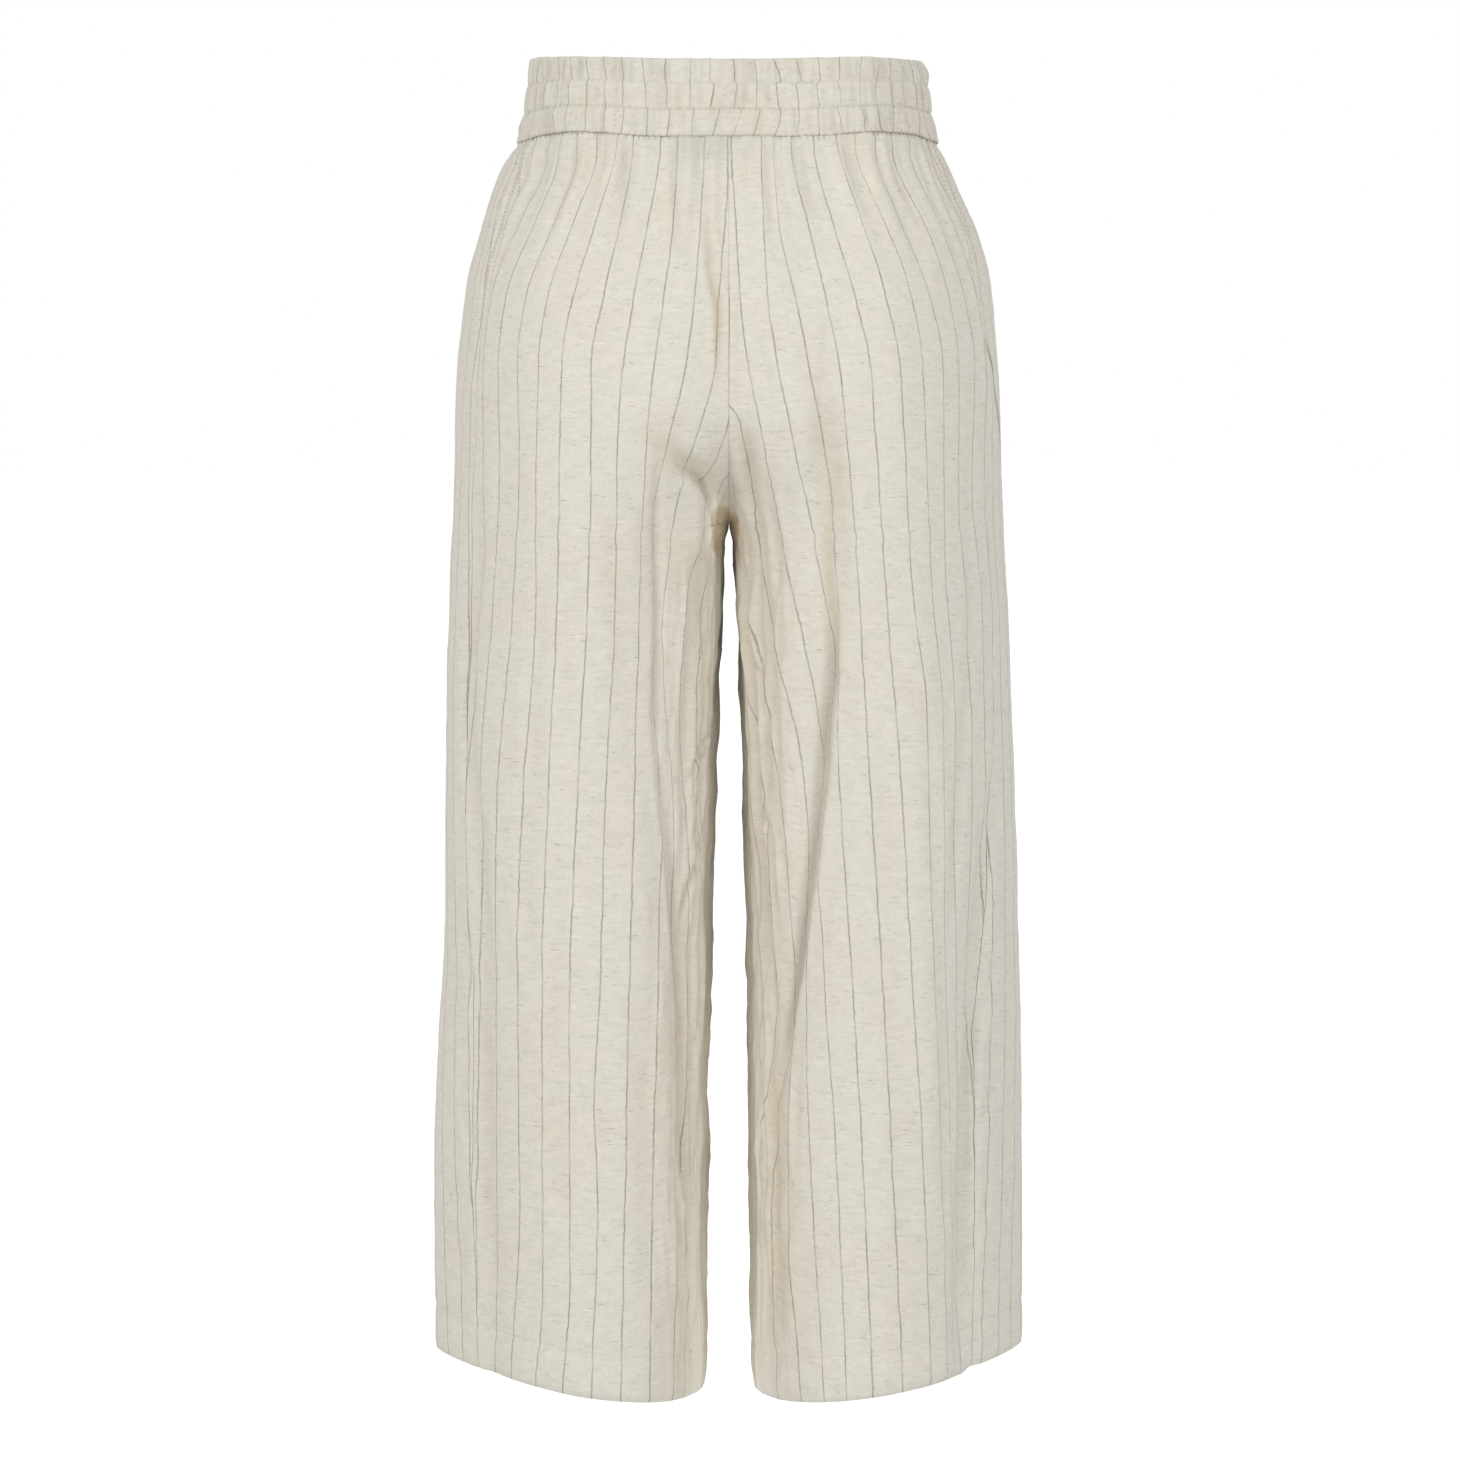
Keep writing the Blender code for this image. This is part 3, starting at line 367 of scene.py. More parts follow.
# Creases, listed one by one. Each runs along its path of (height, distance from the centre plane), sinks by depth (or
# rises, if it is negative), is half_width wide on each side, and fades over its own length at both ends. edge is how
# much of its depth stands up again beside it, as cloth does next to a fold.
CREASE_COLUMNS = "side face depth half_width edge path"
CREASES = (
    # -- left leg, back: the seat seam's fold, the drag towards the crotch, the long inner valleys, the outer leg --
    ("left", "back", 1.9, 2.6, 0.5, ((-44, 16), (-80, 14), (-113, 12), (-139, 6), (-178, 5.5), (-205, 8))),
    ("left", "back", 3.0, 7.5, 0.15, ((-226, 44), (-235, 32), (-241, 20), (-256, 7))),
    ("left", "back", -2.2, 6.0, 0.1, ((-248, 27), (-262, 21.5), (-282, 21.5), (-310, 25))),
    ("left", "back", 4.6, 4.6, 0.0, ((-256, 2.5), (-268, 4.5), (-280, 6), (-293, 7))),
    ("left", "back", 1.6, 11.0, 0.2, ((-196, 20), (-216, 34), (-232, 52))),
    ("left", "back", 1.5, 3.4, 0.40, ((-205, 44), (-270, 45.5), (-328, 44.5), (-380, 46), (-440, 42.5), (-500, 36), (-560, 30.5))),
    ("left", "back", 1.5, 2.4, 0.5, ((-300, 16), (-340, 18), (-390, 17), (-440, 19.5))),
    ("left", "back", 1.4, 2.2, 0.5, ((-440, 24), (-500, 21), (-560, 24.5), (-610, 21.5))),
    ("left", "back", 1.6, 2.4, 0.5, ((-590, 36), (-650, 32), (-710, 34), (-790, 30.5))),
    ("left", "back", 1.6, 3.2, 0.45, ((-300, 24), (-350, 26), (-420, 28.5), (-500, 29.5), (-560, 27), (-620, 26))),
    ("left", "back", 2.6, 4.2, 0.30, ((-470, 35), (-530, 33), (-590, 29.5), (-680, 28), (-760, 25), (-815, 27))),
    ("left", "back", 1.7, 1.7, 0.6, ((-346, 7), (-353, 15.5), (-362, 23))),
    ("left", "back", 1.8, 1.8, 0.6, ((-399, 8), (-417, 15.5), (-432, 22.5), (-450, 28))),
    ("left", "back", 1.6, 1.7, 0.6, ((-414, 11), (-438, 17), (-458, 21.5), (-490, 25.5))),
    ("left", "back", 1.9, 2.0, 0.6, ((-448, 10), (-474, 15.5), (-495, 21.5), (-521, 28), (-556, 31))),
    ("left", "back", 1.5, 1.7, 0.6, ((-470, 13), (-495, 14.5), (-526, 16), (-560, 19))),
    ("left", "back", 1.5, 1.8, 0.6, ((-560, 12), (-592, 18), (-626, 23), (-668, 25))),
    ("left", "back", 1.3, 1.7, 0.6, ((-640, 14), (-672, 19), (-706, 21), (-750, 19))),
    ("left", "back", 2.0, 3.4, 0.45, ((-372, 33), (-418, 36), (-470, 35.5), (-520, 33))),
    ("left", "back", 1.7, 3.0, 0.45, ((-520, 22), (-580, 24.5), (-650, 22.5), (-720, 23))),
    ("left", "back", 1.9, 9.0, 0.2, ((-235, 77), (-300, 75), (-360, 71), (-419, 67), (-470, 66))),
    ("left", "back", 1.5, 8.0, 0.2, ((-560, 62), (-640, 56), (-730, 54), (-812, 57))),
    ("left", "back", 1.8, 6.0, 0.3, ((-230, 160), (-289, 163), (-367, 171), (-419, 171), (-484, 165), (-550, 161.5), (-680, 161.5), (-790, 158))),
    ("left", "back", 1.1, 6.0, 0.3, ((-300, 120), (-420, 128), (-520, 131), (-600, 128))),
    ("left", "back", 0.9, 9.0, 0.2, ((-480, 108), (-620, 112), (-760, 108))),
    # -- right leg, back --
    ("right", "back", -1.1, 5.0, 0.0, ((-50, 9), (-110, 9.5), (-178, 7.5), (-212, 7))),
    ("right", "back", 2.6, 6.0, 0.4, ((-200, 3), (-221, 10), (-250, 15), (-277, 21), (-300, 26))),
    ("right", "back", 1.8, 4.0, 0.5, ((-240, 22), (-268, 28), (-300, 33), (-330, 34))),
    ("right", "back", 3.0, 8.0, 0.3, ((-150, 58), (-204, 62), (-289, 66), (-340, 67.5))),
    ("right", "back", 3.8, 4.2, 0.35, ((-272, 3.5), (-298, 8), (-315, 11), (-345, 13.5), (-385, 17.5), (-430, 19.5), (-484, 22.5), (-550, 26), (-600, 29))),
    ("right", "back", 1.5, 2.4, 0.5, ((-286, 17), (-310, 20), (-345, 20.5), (-372, 24))),
    ("right", "back", 1.6, 2.0, 0.6, ((-420, 10), (-451, 20), (-484, 30), (-511, 32), (-545, 30))),
    ("right", "back", 1.6, 2.0, 0.6, ((-440, 14), (-474, 20), (-511, 22.7), (-550, 24), (-600, 22))),
    ("right", "back", 1.4, 1.8, 0.6, ((-345, 12), (-380, 22), (-410, 26), (-440, 31))),
    ("right", "back", 1.4, 1.8, 0.6, ((-600, 14), (-640, 22), (-690, 26), (-730, 25))),
    ("right", "back", 1.9, 3.2, 0.45, ((-330, 27), (-380, 29), (-440, 26), (-500, 28))),
    ("right", "back", 2.0, 3.4, 0.45, ((-560, 20), (-620, 22), (-690, 20), (-750, 22))),
    ("right", "back", 2.3, 5.0, 0.35, ((-610, 33), (-680, 31), (-760, 33), (-828, 35))),
    ("right", "back", 2.6, 6.0, 0.35, ((-445, 178), (-517, 168), (-582, 163), (-680, 158), (-784, 157), (-835, 158))),
    ("right", "back", 1.6, 5.0, 0.3, ((-250, 155), (-330, 158), (-420, 152), (-500, 146), (-560, 144))),
    ("right", "back", 1.3, 6.0, 0.3, ((-360, 124), (-470, 131), (-560, 137), (-660, 141), (-760, 146))),
    ("right", "back", 1.0, 9.0, 0.2, ((-400, 96), (-560, 104), (-700, 113), (-800, 118))),
    # -- the outer legs are crossed by slanting folds --
    ("right", "back", 1.5, 4.5, 0.4, ((-528, 182), (-575, 173), (-630, 161), (-690, 150))),
    ("right", "back", 1.3, 4.0, 0.4, ((-628, 181), (-670, 169), (-715, 153))),
    ("right", "back", 1.1, 4.5, 0.4, ((-705, 179), (-745, 167), (-792, 151))),
    ("left", "back", 1.1, 5.0, 0.4, ((-520, 180), (-575, 171), (-640, 158))),
    ("left", "back", 1.0, 5.0, 0.4, ((-640, 182), (-700, 168), (-752, 156))),
    # -- fronts, which hang much as the backs do --
    ("left", "front", 2.6, 8.0, 0.3, ((-110, 84), (-200, 90), (-330, 93), (-470, 88))),
    ("left", "front", 3.2, 8.0, 0.3, ((-340, 72), (-470, 74), (-620, 84), (-760, 90))),
    ("left", "front", 3.4, 6.0, 0.35, ((-262, 24), (-340, 33), (-450, 40), (-600, 38), (-700, 34))),
    ("left", "front", 1.8, 4.0, 0.4, ((-420, 22), (-520, 24), (-640, 26), (-740, 22))),
    ("left", "front", 1.8, 7.0, 0.3, ((-470, 132), (-600, 137), (-740, 134))),
    ("left", "front", 2.0, 5.0, 0.5, ((-268, 6), (-250, 18), (-226, 34), (-204, 52))),
    ("left", "front", 1.5, 5.0, 0.5, ((-240, 5), (-214, 17), (-186, 32))),
    ("right", "front", 2.8, 8.0, 0.3, ((-100, 80), (-210, 86), (-330, 86), (-440, 92))),
    ("right", "front", 3.0, 8.0, 0.3, ((-320, 104), (-470, 98), (-640, 92), (-800, 88))),
    ("right", "front", 3.4, 6.0, 0.35, ((-256, 26), (-350, 36), (-480, 36), (-650, 42))),
    ("right", "front", 1.7, 4.0, 0.4, ((-400, 20), (-500, 24), (-600, 22), (-700, 26))),
    ("right", "front", 1.8, 7.0, 0.3, ((-400, 136), (-540, 142), (-700, 138))),
    ("right", "front", 2.0, 5.0, 0.5, ((-266, 6), (-246, 20), (-222, 38), (-196, 58))),
    ("right", "front", 1.4, 5.0, 0.5, ((-236, 5), (-208, 16), (-176, 27))),
)

# Deep folds in which the cloth runs back under itself. lip is how far the outer layer reaches over the valley, rise how
# far it stands up, sink how deep the valley lies under it.
TUCK_COLUMNS = "side face lip rise sink width fade path"
TUCKS = (
    ("right", "back", 1.6, 1.2, 6.4, 5.0, 75.0, ((-300, 66.5), (-335, 68), (-367, 68.3), (-403, 64.5), (-434, 62.5), (-459, 59.5), (-493, 55.5), (-530, 50), (-580, 42), (-630, 34.5), (-668, 31))),
    ("left", "back", 0.5, 0.4, 1.1, 3.2, 75.0, ((-208, 45), (-262, 46), (-328, 45), (-380, 46.5), (-440, 43), (-500, 36.5), (-548, 32))),
    ("left", "back", 1.2, 1.0, 5.6, 3.4, 16.0, ((-242, 36), (-246, 24), (-251, 17.5), (-260, 14.5), (-269, 11.4), (-292, 11.4), (-320, 11.6), (-345, 13), (-385, 15))),
    ("left", "front", 2.4, 1.2, 4.6, 4.0, 75.0, ((-330, 78), (-430, 76), (-540, 80), (-640, 86))),
    ("right", "front", 2.6, 1.2, 4.8, 4.0, 75.0, ((-300, 96), (-420, 98), (-540, 95), (-680, 90))),
)


def lattice(seed, size=64):
    return np.random.default_rng(seed).uniform(-1, 1, (size, size, size))


LATTICE = lattice(7)


def noise3(p, scale):
    """Smooth noise from -1 to 1 at points p, in millimetres. scale is the size of its lumps along x, y and z."""
    q = p / np.asarray(scale, float)
    i = np.floor(q).astype(int)
    f = q - i
    f = f * f * (3 - 2 * f)
    n = LATTICE.shape[0]
    out = np.zeros(p.shape[:-1])
    for dx in (0, 1):
        for dy in (0, 1):
            for dz in (0, 1):
                w = (f[..., 0] if dx else 1 - f[..., 0]) * (f[..., 1] if dy else 1 - f[..., 1]) * (f[..., 2] if dz else 1 - f[..., 2])
                out += w * LATTICE[(i[..., 0] + dx) % n, (i[..., 1] + dy) % n, (i[..., 2] + dz) % n]
    return out


def noise1(x, scale, lane=0.0):
    """Smooth noise from -1 to 1 along a line. Another lane gives another line."""
    p = np.stack((x, np.full_like(x, 1.0) * scale * (lane + 0.37), np.full_like(x, 5.1 * scale)), -1)
    return noise3(p, (scale, scale, scale))


def fine_heights():
    """Heights of the rows of a panel: close together under the waist seam, along the U and round the crotch."""
    top = np.arange(TOP_Z, U_START_Z + 1.0, -3.6)
    u = U_START_Z - (U_START_Z - CROTCH_Z) * np.sin(pi / 2 * np.linspace(0, 1, 26))
    t = np.linspace(0, 1, 117)[1:]
    leg = CROTCH_Z - (CROTCH_Z - HEM_Z) * (0.82 * t + 0.18 * t * t * (3 - 2 * t) ** 0.5)
    leg = CROTCH_Z + (leg - CROTCH_Z) * (HEM_Z - CROTCH_Z) / (leg[-1] - CROTCH_Z)
    return np.concatenate((top, u, leg))


def dense_heights():
    """Heights at which the sections are worked out. Rows are read between them."""
    top = np.arange(TOP_Z, U_START_Z + 0.5, -3.0)
    u = U_START_Z - (U_START_Z - CROTCH_Z) * np.sin(pi / 2 * np.linspace(0, 1, 70))
    leg = np.concatenate((CROTCH_Z - np.geomspace(0.01, 12.0, 9), np.linspace(CROTCH_Z - 16.0, HEM_Z, 132)))
    return np.concatenate((top, u, leg))


SECTION_AT = {}


def sections_of(side):
    """The sections of one half at the dense heights, worked out once."""
    if side not in SECTION_AT:
        SECTION_AT[side] = [(z, reach_of(z, side, "back"), reach_of(z, side, "front")) for z in dense_heights()]
    return SECTION_AT[side]


def place_of(sec, face, x):
    """Distance along a section of the point at x, on the back or the front."""
    pts, along, at_side, cut, (i_side, i_back, i_front) = sec
    return along_at(pts, along, i_side, len(pts) - 1, x) if face == "back" else along_at(pts, along, 0, i_side, x)


def cloth_width(z, side, face, sec, d):
    """The cloth's own coordinate across the grain, in millimetres, at distances d along a section."""
    full = float(np.interp(-z, [-a for a, _ in GATHERED], [b for _, b in GATHERED]))
    knots = []
    for s, f, n, path in GRAIN:
        if s != side or f != face:
            continue
        ph = np.array(path[::-1], float)
        if not ph[0, 0] - 12 <= z <= ph[-1, 0] + (60 if n < 6 and ph[-1, 0] > -80 else 12):
            continue
        knots.append((place_of(sec, face, float(smooth_at(np.array(z), ph[:, 0], ph[:, 1]))), n * PITCH))
    sign = -1.0 if face == "back" else 1.0  # on the back the numbers fall as the distance grows
    knots.sort()
    ds, us = np.array(knots).T
    keep = np.concatenate(([True], np.diff(ds) > 0.25))
    ds, us = ds[keep], us[keep]
    u = np.interp(d, ds, us)
    u = np.where(d < ds[0], us[0] + sign * (d - ds[0]) * full, u)
    return np.where(d > ds[-1], us[-1] + sign * (d - ds[-1]) * full, u)


class Panel:
    """The fine points of one panel: rows run down, columns run from the side seam inwards. Everything is worked out for
    the left half, and the right one is turned over at the end."""

    def __init__(self, side, face, columns):
        self.side, self.face = side, face
        t = np.linspace(0, 1, columns + 1)
        self.shares = shares = t - 0.4 * np.sin(2 * pi * t) / (2 * pi)
        secs = sections_of(side)
        zs = np.array([s[0] for s in secs])
        order = np.argsort(zs)
        wide = np.array([abs((b if face == "back" else f)[2] - (b if face == "back" else f)[1]) for _, b, f in secs])
        even_top, even_low = (float(np.interp(h, zs[order], wide[order])) for h in (EVEN_TOP, EVEN_LOW))
        rows = {k: np.zeros((len(zs), columns + 1)) for k in "x y d q s e u total".split()}
        for i, (z, back, front) in enumerate(secs):
            sec, start, end = back if face == "back" else front
            pts, along, at_side, cut, _ = sec
            even = wide[i]
            if EVEN_LOW < z < EVEN_TOP:
                even = even_top + (even_low - even_top) * soft_step(-z, -EVEN_TOP, -EVEN_LOW)
            gone = even * shares + (wide[i] - even) * shares**8
            d = start + np.sign(end - start) * gone
            p, out = point_at(pts, along, d)
            p = p - out * inward(z, side, d, sec)[:, None]
            if z > CROTCH_Z - 1e-6:
                p[:, 0] = np.maximum(p[:, 0], HALF_GAP * 0.5)
            rows["x"][i], rows["y"][i] = p.T
            rows["d"][i], rows["s"][i], rows["e"][i] = d, gone, wide[i] - gone
            rows["u"][i] = cloth_width(z, side, face, sec, d)
            rows["q"][i] = d - at_side
            rows["total"][i] = along[-1] if z < CROTCH_Z - 1e-6 else 1e6
        u = rows["u"]
        for _ in range(9):  # the grain never jogs from one height to the next
            u[1:-1] = 0.25 * u[:-2] + 0.5 * u[1:-1] + 0.25 * u[2:]
        self.z0 = np.array([self.fan(z) for z in fine_heights()])
        zo = zs[order]
        for k, v in rows.items():
            v = v[order]
            setattr(self, k, np.stack([np.interp(self.z0[:, j], zo, v[:, j]) for j in range(columns + 1)], 1))
        waist = seam_height(self.x, self.y, SEAM_SIDE, SEAM_BACK, SEAM_FRONT, 139.0)
        ease = 1 - soft_step(-self.z0, -TOP_Z, 90.0)
        self.z = self.z0 + tilt(self.z0, self.x) + ease * (waist - TOP_Z)
        self.below_waist = waist - self.z
        self.v = self.length_down()

    def fan(self, z):
        q = (U_START_Z - z) / (U_START_Z - CROTCH_Z)
        if not 0 < q < 1:
            return np.full(len(self.shares), float(z))
        even = U_START_Z - (U_START_Z - CROTCH_Z) * np.arcsin(q) * 2 / pi
        return even + (z - even) * self.shares**3

    def length_down(self):
        """The cloth's own coordinate along the grain: its length down from the waist, with the seat's curve in it."""
        slope = np.gradient(self.y, axis=0) / np.minimum(np.gradient(self.z, axis=0), -0.05)
        return -self.z * 1.0 + 0.5 * np.cumsum(np.clip(slope, -0.6, 0.6) ** 2 * np.abs(np.gradient(self.z, axis=0)), axis=0)

    def points(self):
        return np.stack((self.x, self.y, self.z), -1)

    def out(self, p):
        """Outward directions at a grid of points."""
        n = np.cross(np.gradient(p, axis=0), np.gradient(p, axis=1))
        n /= np.maximum(np.linalg.norm(n, axis=-1, keepdims=True), 1e-9)
        return n if self.face == "back" else -n


def line_points(panel_side, face, path, step=3.0):
    """A path over the cloth, as heights and distances round the leg from the side seam, with its length so far."""
    path = np.array(path, float)
    gone = np.concatenate(([0.0], np.cumsum(np.linalg.norm(np.diff(path, axis=0), axis=1))))
    m = max(int(gone[-1] / step), 8)
    t = np.linspace(0, gone[-1], m)
    hz, hx = smooth_at(t, gone, path[:, 0]), smooth_at(t, gone, path[:, 1])
    secs = sections_of(panel_side)
    zs = np.array([s[0] for s in secs])
    near = [secs[int(np.argmin(np.abs(zs - a)))][1][0] for a in hz]
    hq = np.array([place_of(sec, face, b) - sec[2] for sec, b in zip(near, hx)])
    return t, hz, hq


def from_line(z, d, hz, hd, t):
    """Signed distance of points from a line and the place along it. It is positive towards greater d."""
    best = np.full(z.shape, 1e9)
    sign = np.ones(z.shape)
    at = np.zeros(z.shape)
    for k in range(len(t) - 1):
        az, ad = hz[k + 1] - hz[k], hd[k + 1] - hd[k]
        qz, qd = z - hz[k], d - hd[k]
        f = np.clip((qz * az + qd * ad) / max(az * az + ad * ad, 1e-9), 0, 1)
        r = np.hypot(qz - f * az, qd - f * ad)
        better = r < best
        best = np.where(better, r, best)
        sign = np.where(better, np.sign(qz * ad - qd * az), sign)
        at = np.where(better, t[k] + f * (t[k + 1] - t[k]), at)
    return best * sign, at


def crease_relief(panel):
    """How far the creases move the points of a panel outwards. A crease by a seam goes on beyond it."""
    out = np.zeros_like(panel.x)
    for row, (side, face, depth, width, edge, path) in enumerate(CREASES):
        if side != panel.side:
            continue
        t, hz, hd = line_points(side, face, path)
        reach = width * 3.6
        for turn in (-1, 0, 1):
            d = panel.q + turn * panel.total
            near = (panel.z0 > hz.min() - reach) & (panel.z0 < hz.max() + reach) & (d > hd.min() - reach) & (d < hd.max() + reach)
            if not near.any():
                continue
            r, at = from_line(panel.z0[near], d[near], hz, hd, t)
            r = np.abs(r)
            fade = min(0.38 * t[-1], 70.0)
            ends = soft_step(at, -1.0, fade) * (1 - soft_step(at, t[-1] - fade, t[-1] + 1.0))
            wobble = 1 + 0.28 * noise1(at, 34.0, row * 1.7)
            w = width * (1 + 0.2 * noise1(at, 55.0, row * 1.7 + 0.6))
            out[near] -= depth * ends * wobble * (np.exp(-((r / w) ** 2)) - edge * np.exp(-(((r - 2.1 * w) / (0.95 * w)) ** 2)))
    return out


def gather_relief(panel):
    """Soft pleats that hang from the waist seam along the grain, no two alike, and a fine frill at the seam itself."""
    rng = np.random.default_rng({"left": 11, "right": 23}[panel.side] + (5 if panel.face == "front" else 0))
    u, h = panel.u, panel.below_waist
    out = np.zeros_like(u)
    at, last = u[0].min() - 10, u[0].max() + 10
    while at < last:
        at += rng.uniform(5.5, 12.5)
        rise = rng.uniform(0.9, 2.9) * (1 if rng.uniform() < 0.55 else -1)
        wide, length, drift = rng.uniform(2.6, 5.2), rng.uniform(26, 120), rng.uniform(-4, 4)
        near = np.abs(u - at) < 30
        line = at + drift * np.clip(h[near] / 120, 0, 1.5)
        fade = np.exp(-((np.maximum(h[near], 0) / length) ** 1.6))
        out[near] += rise * fade * np.exp(-(((u[near] - line) / (wide * (1 + h[near] / 90))) ** 2))
    frill = noise1(u, 2.9, 3.0 + (panel.face == "front")) * 0.55 + noise1(u, 1.9, 9.0) * 0.25
    out += frill * np.exp(-((np.maximum(h, 0) / 9.0) ** 1.3))
    out = out * soft_step(np.minimum(panel.s, panel.e), 0.0, 9.0) * (0.45 + 0.55 * soft_step(h, 0.0, 10.0))
    # The band lies over the seam, so there the gathers only go inwards.
    high = 0.15 + 2.8 * soft_step(h, 1.0, 15.0)
    return np.minimum(out, high - 0.35 * np.exp(-np.clip(high - out, -2, 2) ** 2))


def seam_relief(panel):
    """Panels turn in at their seams and pucker a little there, and the turn-up's stitching pulls in a line."""
    s, e, z = panel.s, panel.e, panel.z0
    seat = soft_step(-z, 70.0, 130.0) * (1 - 0.7 * soft_step(-z, 204.0, 222.0))
    out = -0.5 * np.exp(-((s / 1.1) ** 2)) - (0.1 + 0.4 * seat) * np.exp(-((e / 1.4) ** 2)) * (1 - soft_step(-z, 206.0, 226.0) * (z > CROTCH_Z))
    pucker = noise1(z + 900, 6.5, 21.0 + (panel.face == "front")) + 0.5 * noise1(z + 900, 3.4, 27.0)
    out += 0.36 * pucker * (np.exp(-(((s - 4.0) / 4.5) ** 2)) + np.exp(-(((e - 4.0) / 4.5) ** 2)))
    hem = z - HEM_Z
    ripple = noise1(panel.d + 400, 8.5, 2.0) + 0.5 * noise1(panel.d + 400, 4.1, 6.0)
    out += (-0.55 + 0.25 * ripple) * np.exp(-(((hem - HEM_DEPTH) / 1.8) ** 2))
    out += (0.45 + 0.45 * ripple) * np.exp(-(((hem - 12.0) / 12.0) ** 2))
    out += -0.6 * np.exp(-((hem / 1.0) ** 2))
    out += -0.3 * np.exp(-((np.maximum(panel.below_waist, 0) / 1.4) ** 2))
    return out


def ridged(p, scale):
    """Like noise3, but with creased crests: from -1 in the hollows to 1 along thin wandering lines."""
    return 1 - 2.6 * np.abs(noise3(p, scale))


def crumple_relief(panel):
    """Worn linen is never smooth: long shallow ripples down the leg, shorter dents, sharp little wrinkles towards the
    inside of the leg and by the side seam, and a fine crumple."""
    p = panel.points() * ((1, 1, 1) if panel.side == "left" else (-1, 1, 1)) + (500, 500, 2000)
    low = soft_step(-panel.z0, 90, 200)
    ripple = noise3(p, (17.0, 26.0, 120.0)) * 0.65
    dents = noise3(p + 71, (38.0, 46.0, 34.0)) * 0.5
    fine = noise3(p + 171, (11.0, 14.0, 17.0)) * 0.24 + noise3(p + 311, (5.0, 7.0, 8.0)) * 0.12
    cross = ridged(p + 511, (15.0, 17.0, 3.6)) * 0.07 + ridged(p + 611, (26.0, 26.0, 6.0)) * 0.06
    legs = soft_step(-panel.z0, 250.0, 330.0)
    wave = p + np.stack((4.5 * noise3(p + 811, (60.0, 60.0, 38.0)), 0 * p[..., 0], 0 * p[..., 0]), -1)
    inner = np.exp(-((np.maximum(panel.x - 26.0, 0) / 20.0) ** 2)) * legs
    wrinkles = ridged(wave + 411, (9.0, 22.0, 68.0)) * 1.4 + ridged(wave + 451, (6.0, 12.0, 30.0)) * 0.95 + ridged(wave + 481, (4.2, 9.0, 22.0)) * 0.35
    outer = np.exp(-((panel.s / 24.0) ** 2)) * soft_step(-panel.z0, 380.0, 470.0)
    beside = ridged(wave + 701, (9.0, 13.0, 52.0)) * 0.5 + ridged(wave + 751, (6.0, 9.0, 18.0)) * 0.25
    crotch = np.exp(-((np.hypot(panel.x - 14.0, (panel.z0 + 262.0) * 0.7) / 26.0) ** 2))
    tight = ridged(p + 901, (11.0, 14.0, 9.0)) * 0.7
    return ripple * low + dents + fine + cross + wrinkles * inner + beside * outer + tight * crotch


def tucks(panel, p, out):
    """Lays the deep folds: the cloth beyond the line reaches over, and the cloth before it runs under."""
    over = np.gradient(p, axis=1)
    over /= np.maximum(np.linalg.norm(over, axis=-1, keepdims=True), 1e-9)
    if panel.face == "front":
        over = -over
    move = np.zeros_like(p)
    for row, (side, face, lip, rise, sink, width, fading, path) in enumerate(TUCKS):
        if side != panel.side or face != panel.face:
            continue
        t, hz, hd = line_points(side, face, path)
        reach = 32.0
        near = (panel.z0 > hz.min() - reach) & (panel.z0 < hz.max() + reach) & (panel.q > hd.min() - reach) & (panel.q < hd.max() + reach)
        r, at = from_line(panel.z0[near], panel.q[near], hz, hd, t)
        # The outer side of the leg is on the side seam's side, which is towards smaller d on a back.
        beyond = panel.q[near] - np.interp(-panel.z0[near], -hz[np.argsort(-hz)], hd[np.argsort(-hz)])
        r = np.abs(r) * np.sign(-beyond if face == "back" else beyond)
        fade = min(0.3 * t[-1], fading)
        ends = soft_step(at, -1.0, fade) * (1 - soft_step(at, t[-1] - fade, t[-1] + 1.0))
        w = width * (1 + 0.18 * noise1(at, 45.0, 95.0 + row))
        reaching = ends * (1 + 0.25 * noise1(at, 28.0, 99.0 + row))
        lip_shape = np.exp(-(((r - 1.1 * w) / (1.15 * w)) ** 2))
        floor_shape = np.exp(-(((r + 0.35 * w) / (0.75 * w)) ** 2))
        shift = (lip * lip_shape - 0.45 * lip * floor_shape) * reaching
        height = (rise * lip_shape - sink * floor_shape) * ends
        move[near] += over[near] * shift[:, None] * (1 if face == "back" else 1) + out[near] * height[:, None]
    return p + move


def stroke(panel, path, width, fade_share=0.38):
    """1 along a path over a panel, falling softly to 0 on both sides and at both ends."""
    t, hz, hq = line_points(panel.side, panel.face, path)
    out = np.zeros_like(panel.x)
    reach = width * 3.0
    for turn in (-1, 0, 1):
        q = panel.q + turn * panel.total
        near = (panel.z0 > hz.min() - reach) & (panel.z0 < hz.max() + reach) & (q > hq.min() - reach) & (q < hq.max() + reach)
        if near.any():
            r, at = from_line(panel.z0[near], q[near], hz, hq, t)
            fade = min(fade_share * t[-1], 60.0)
            ends = soft_step(at, -1.0, fade) * (1 - soft_step(at, t[-1] - fade, t[-1] + 1.0))
            out[near] = np.maximum(out[near], ends * np.exp(-((r / width) ** 2)))
    return out
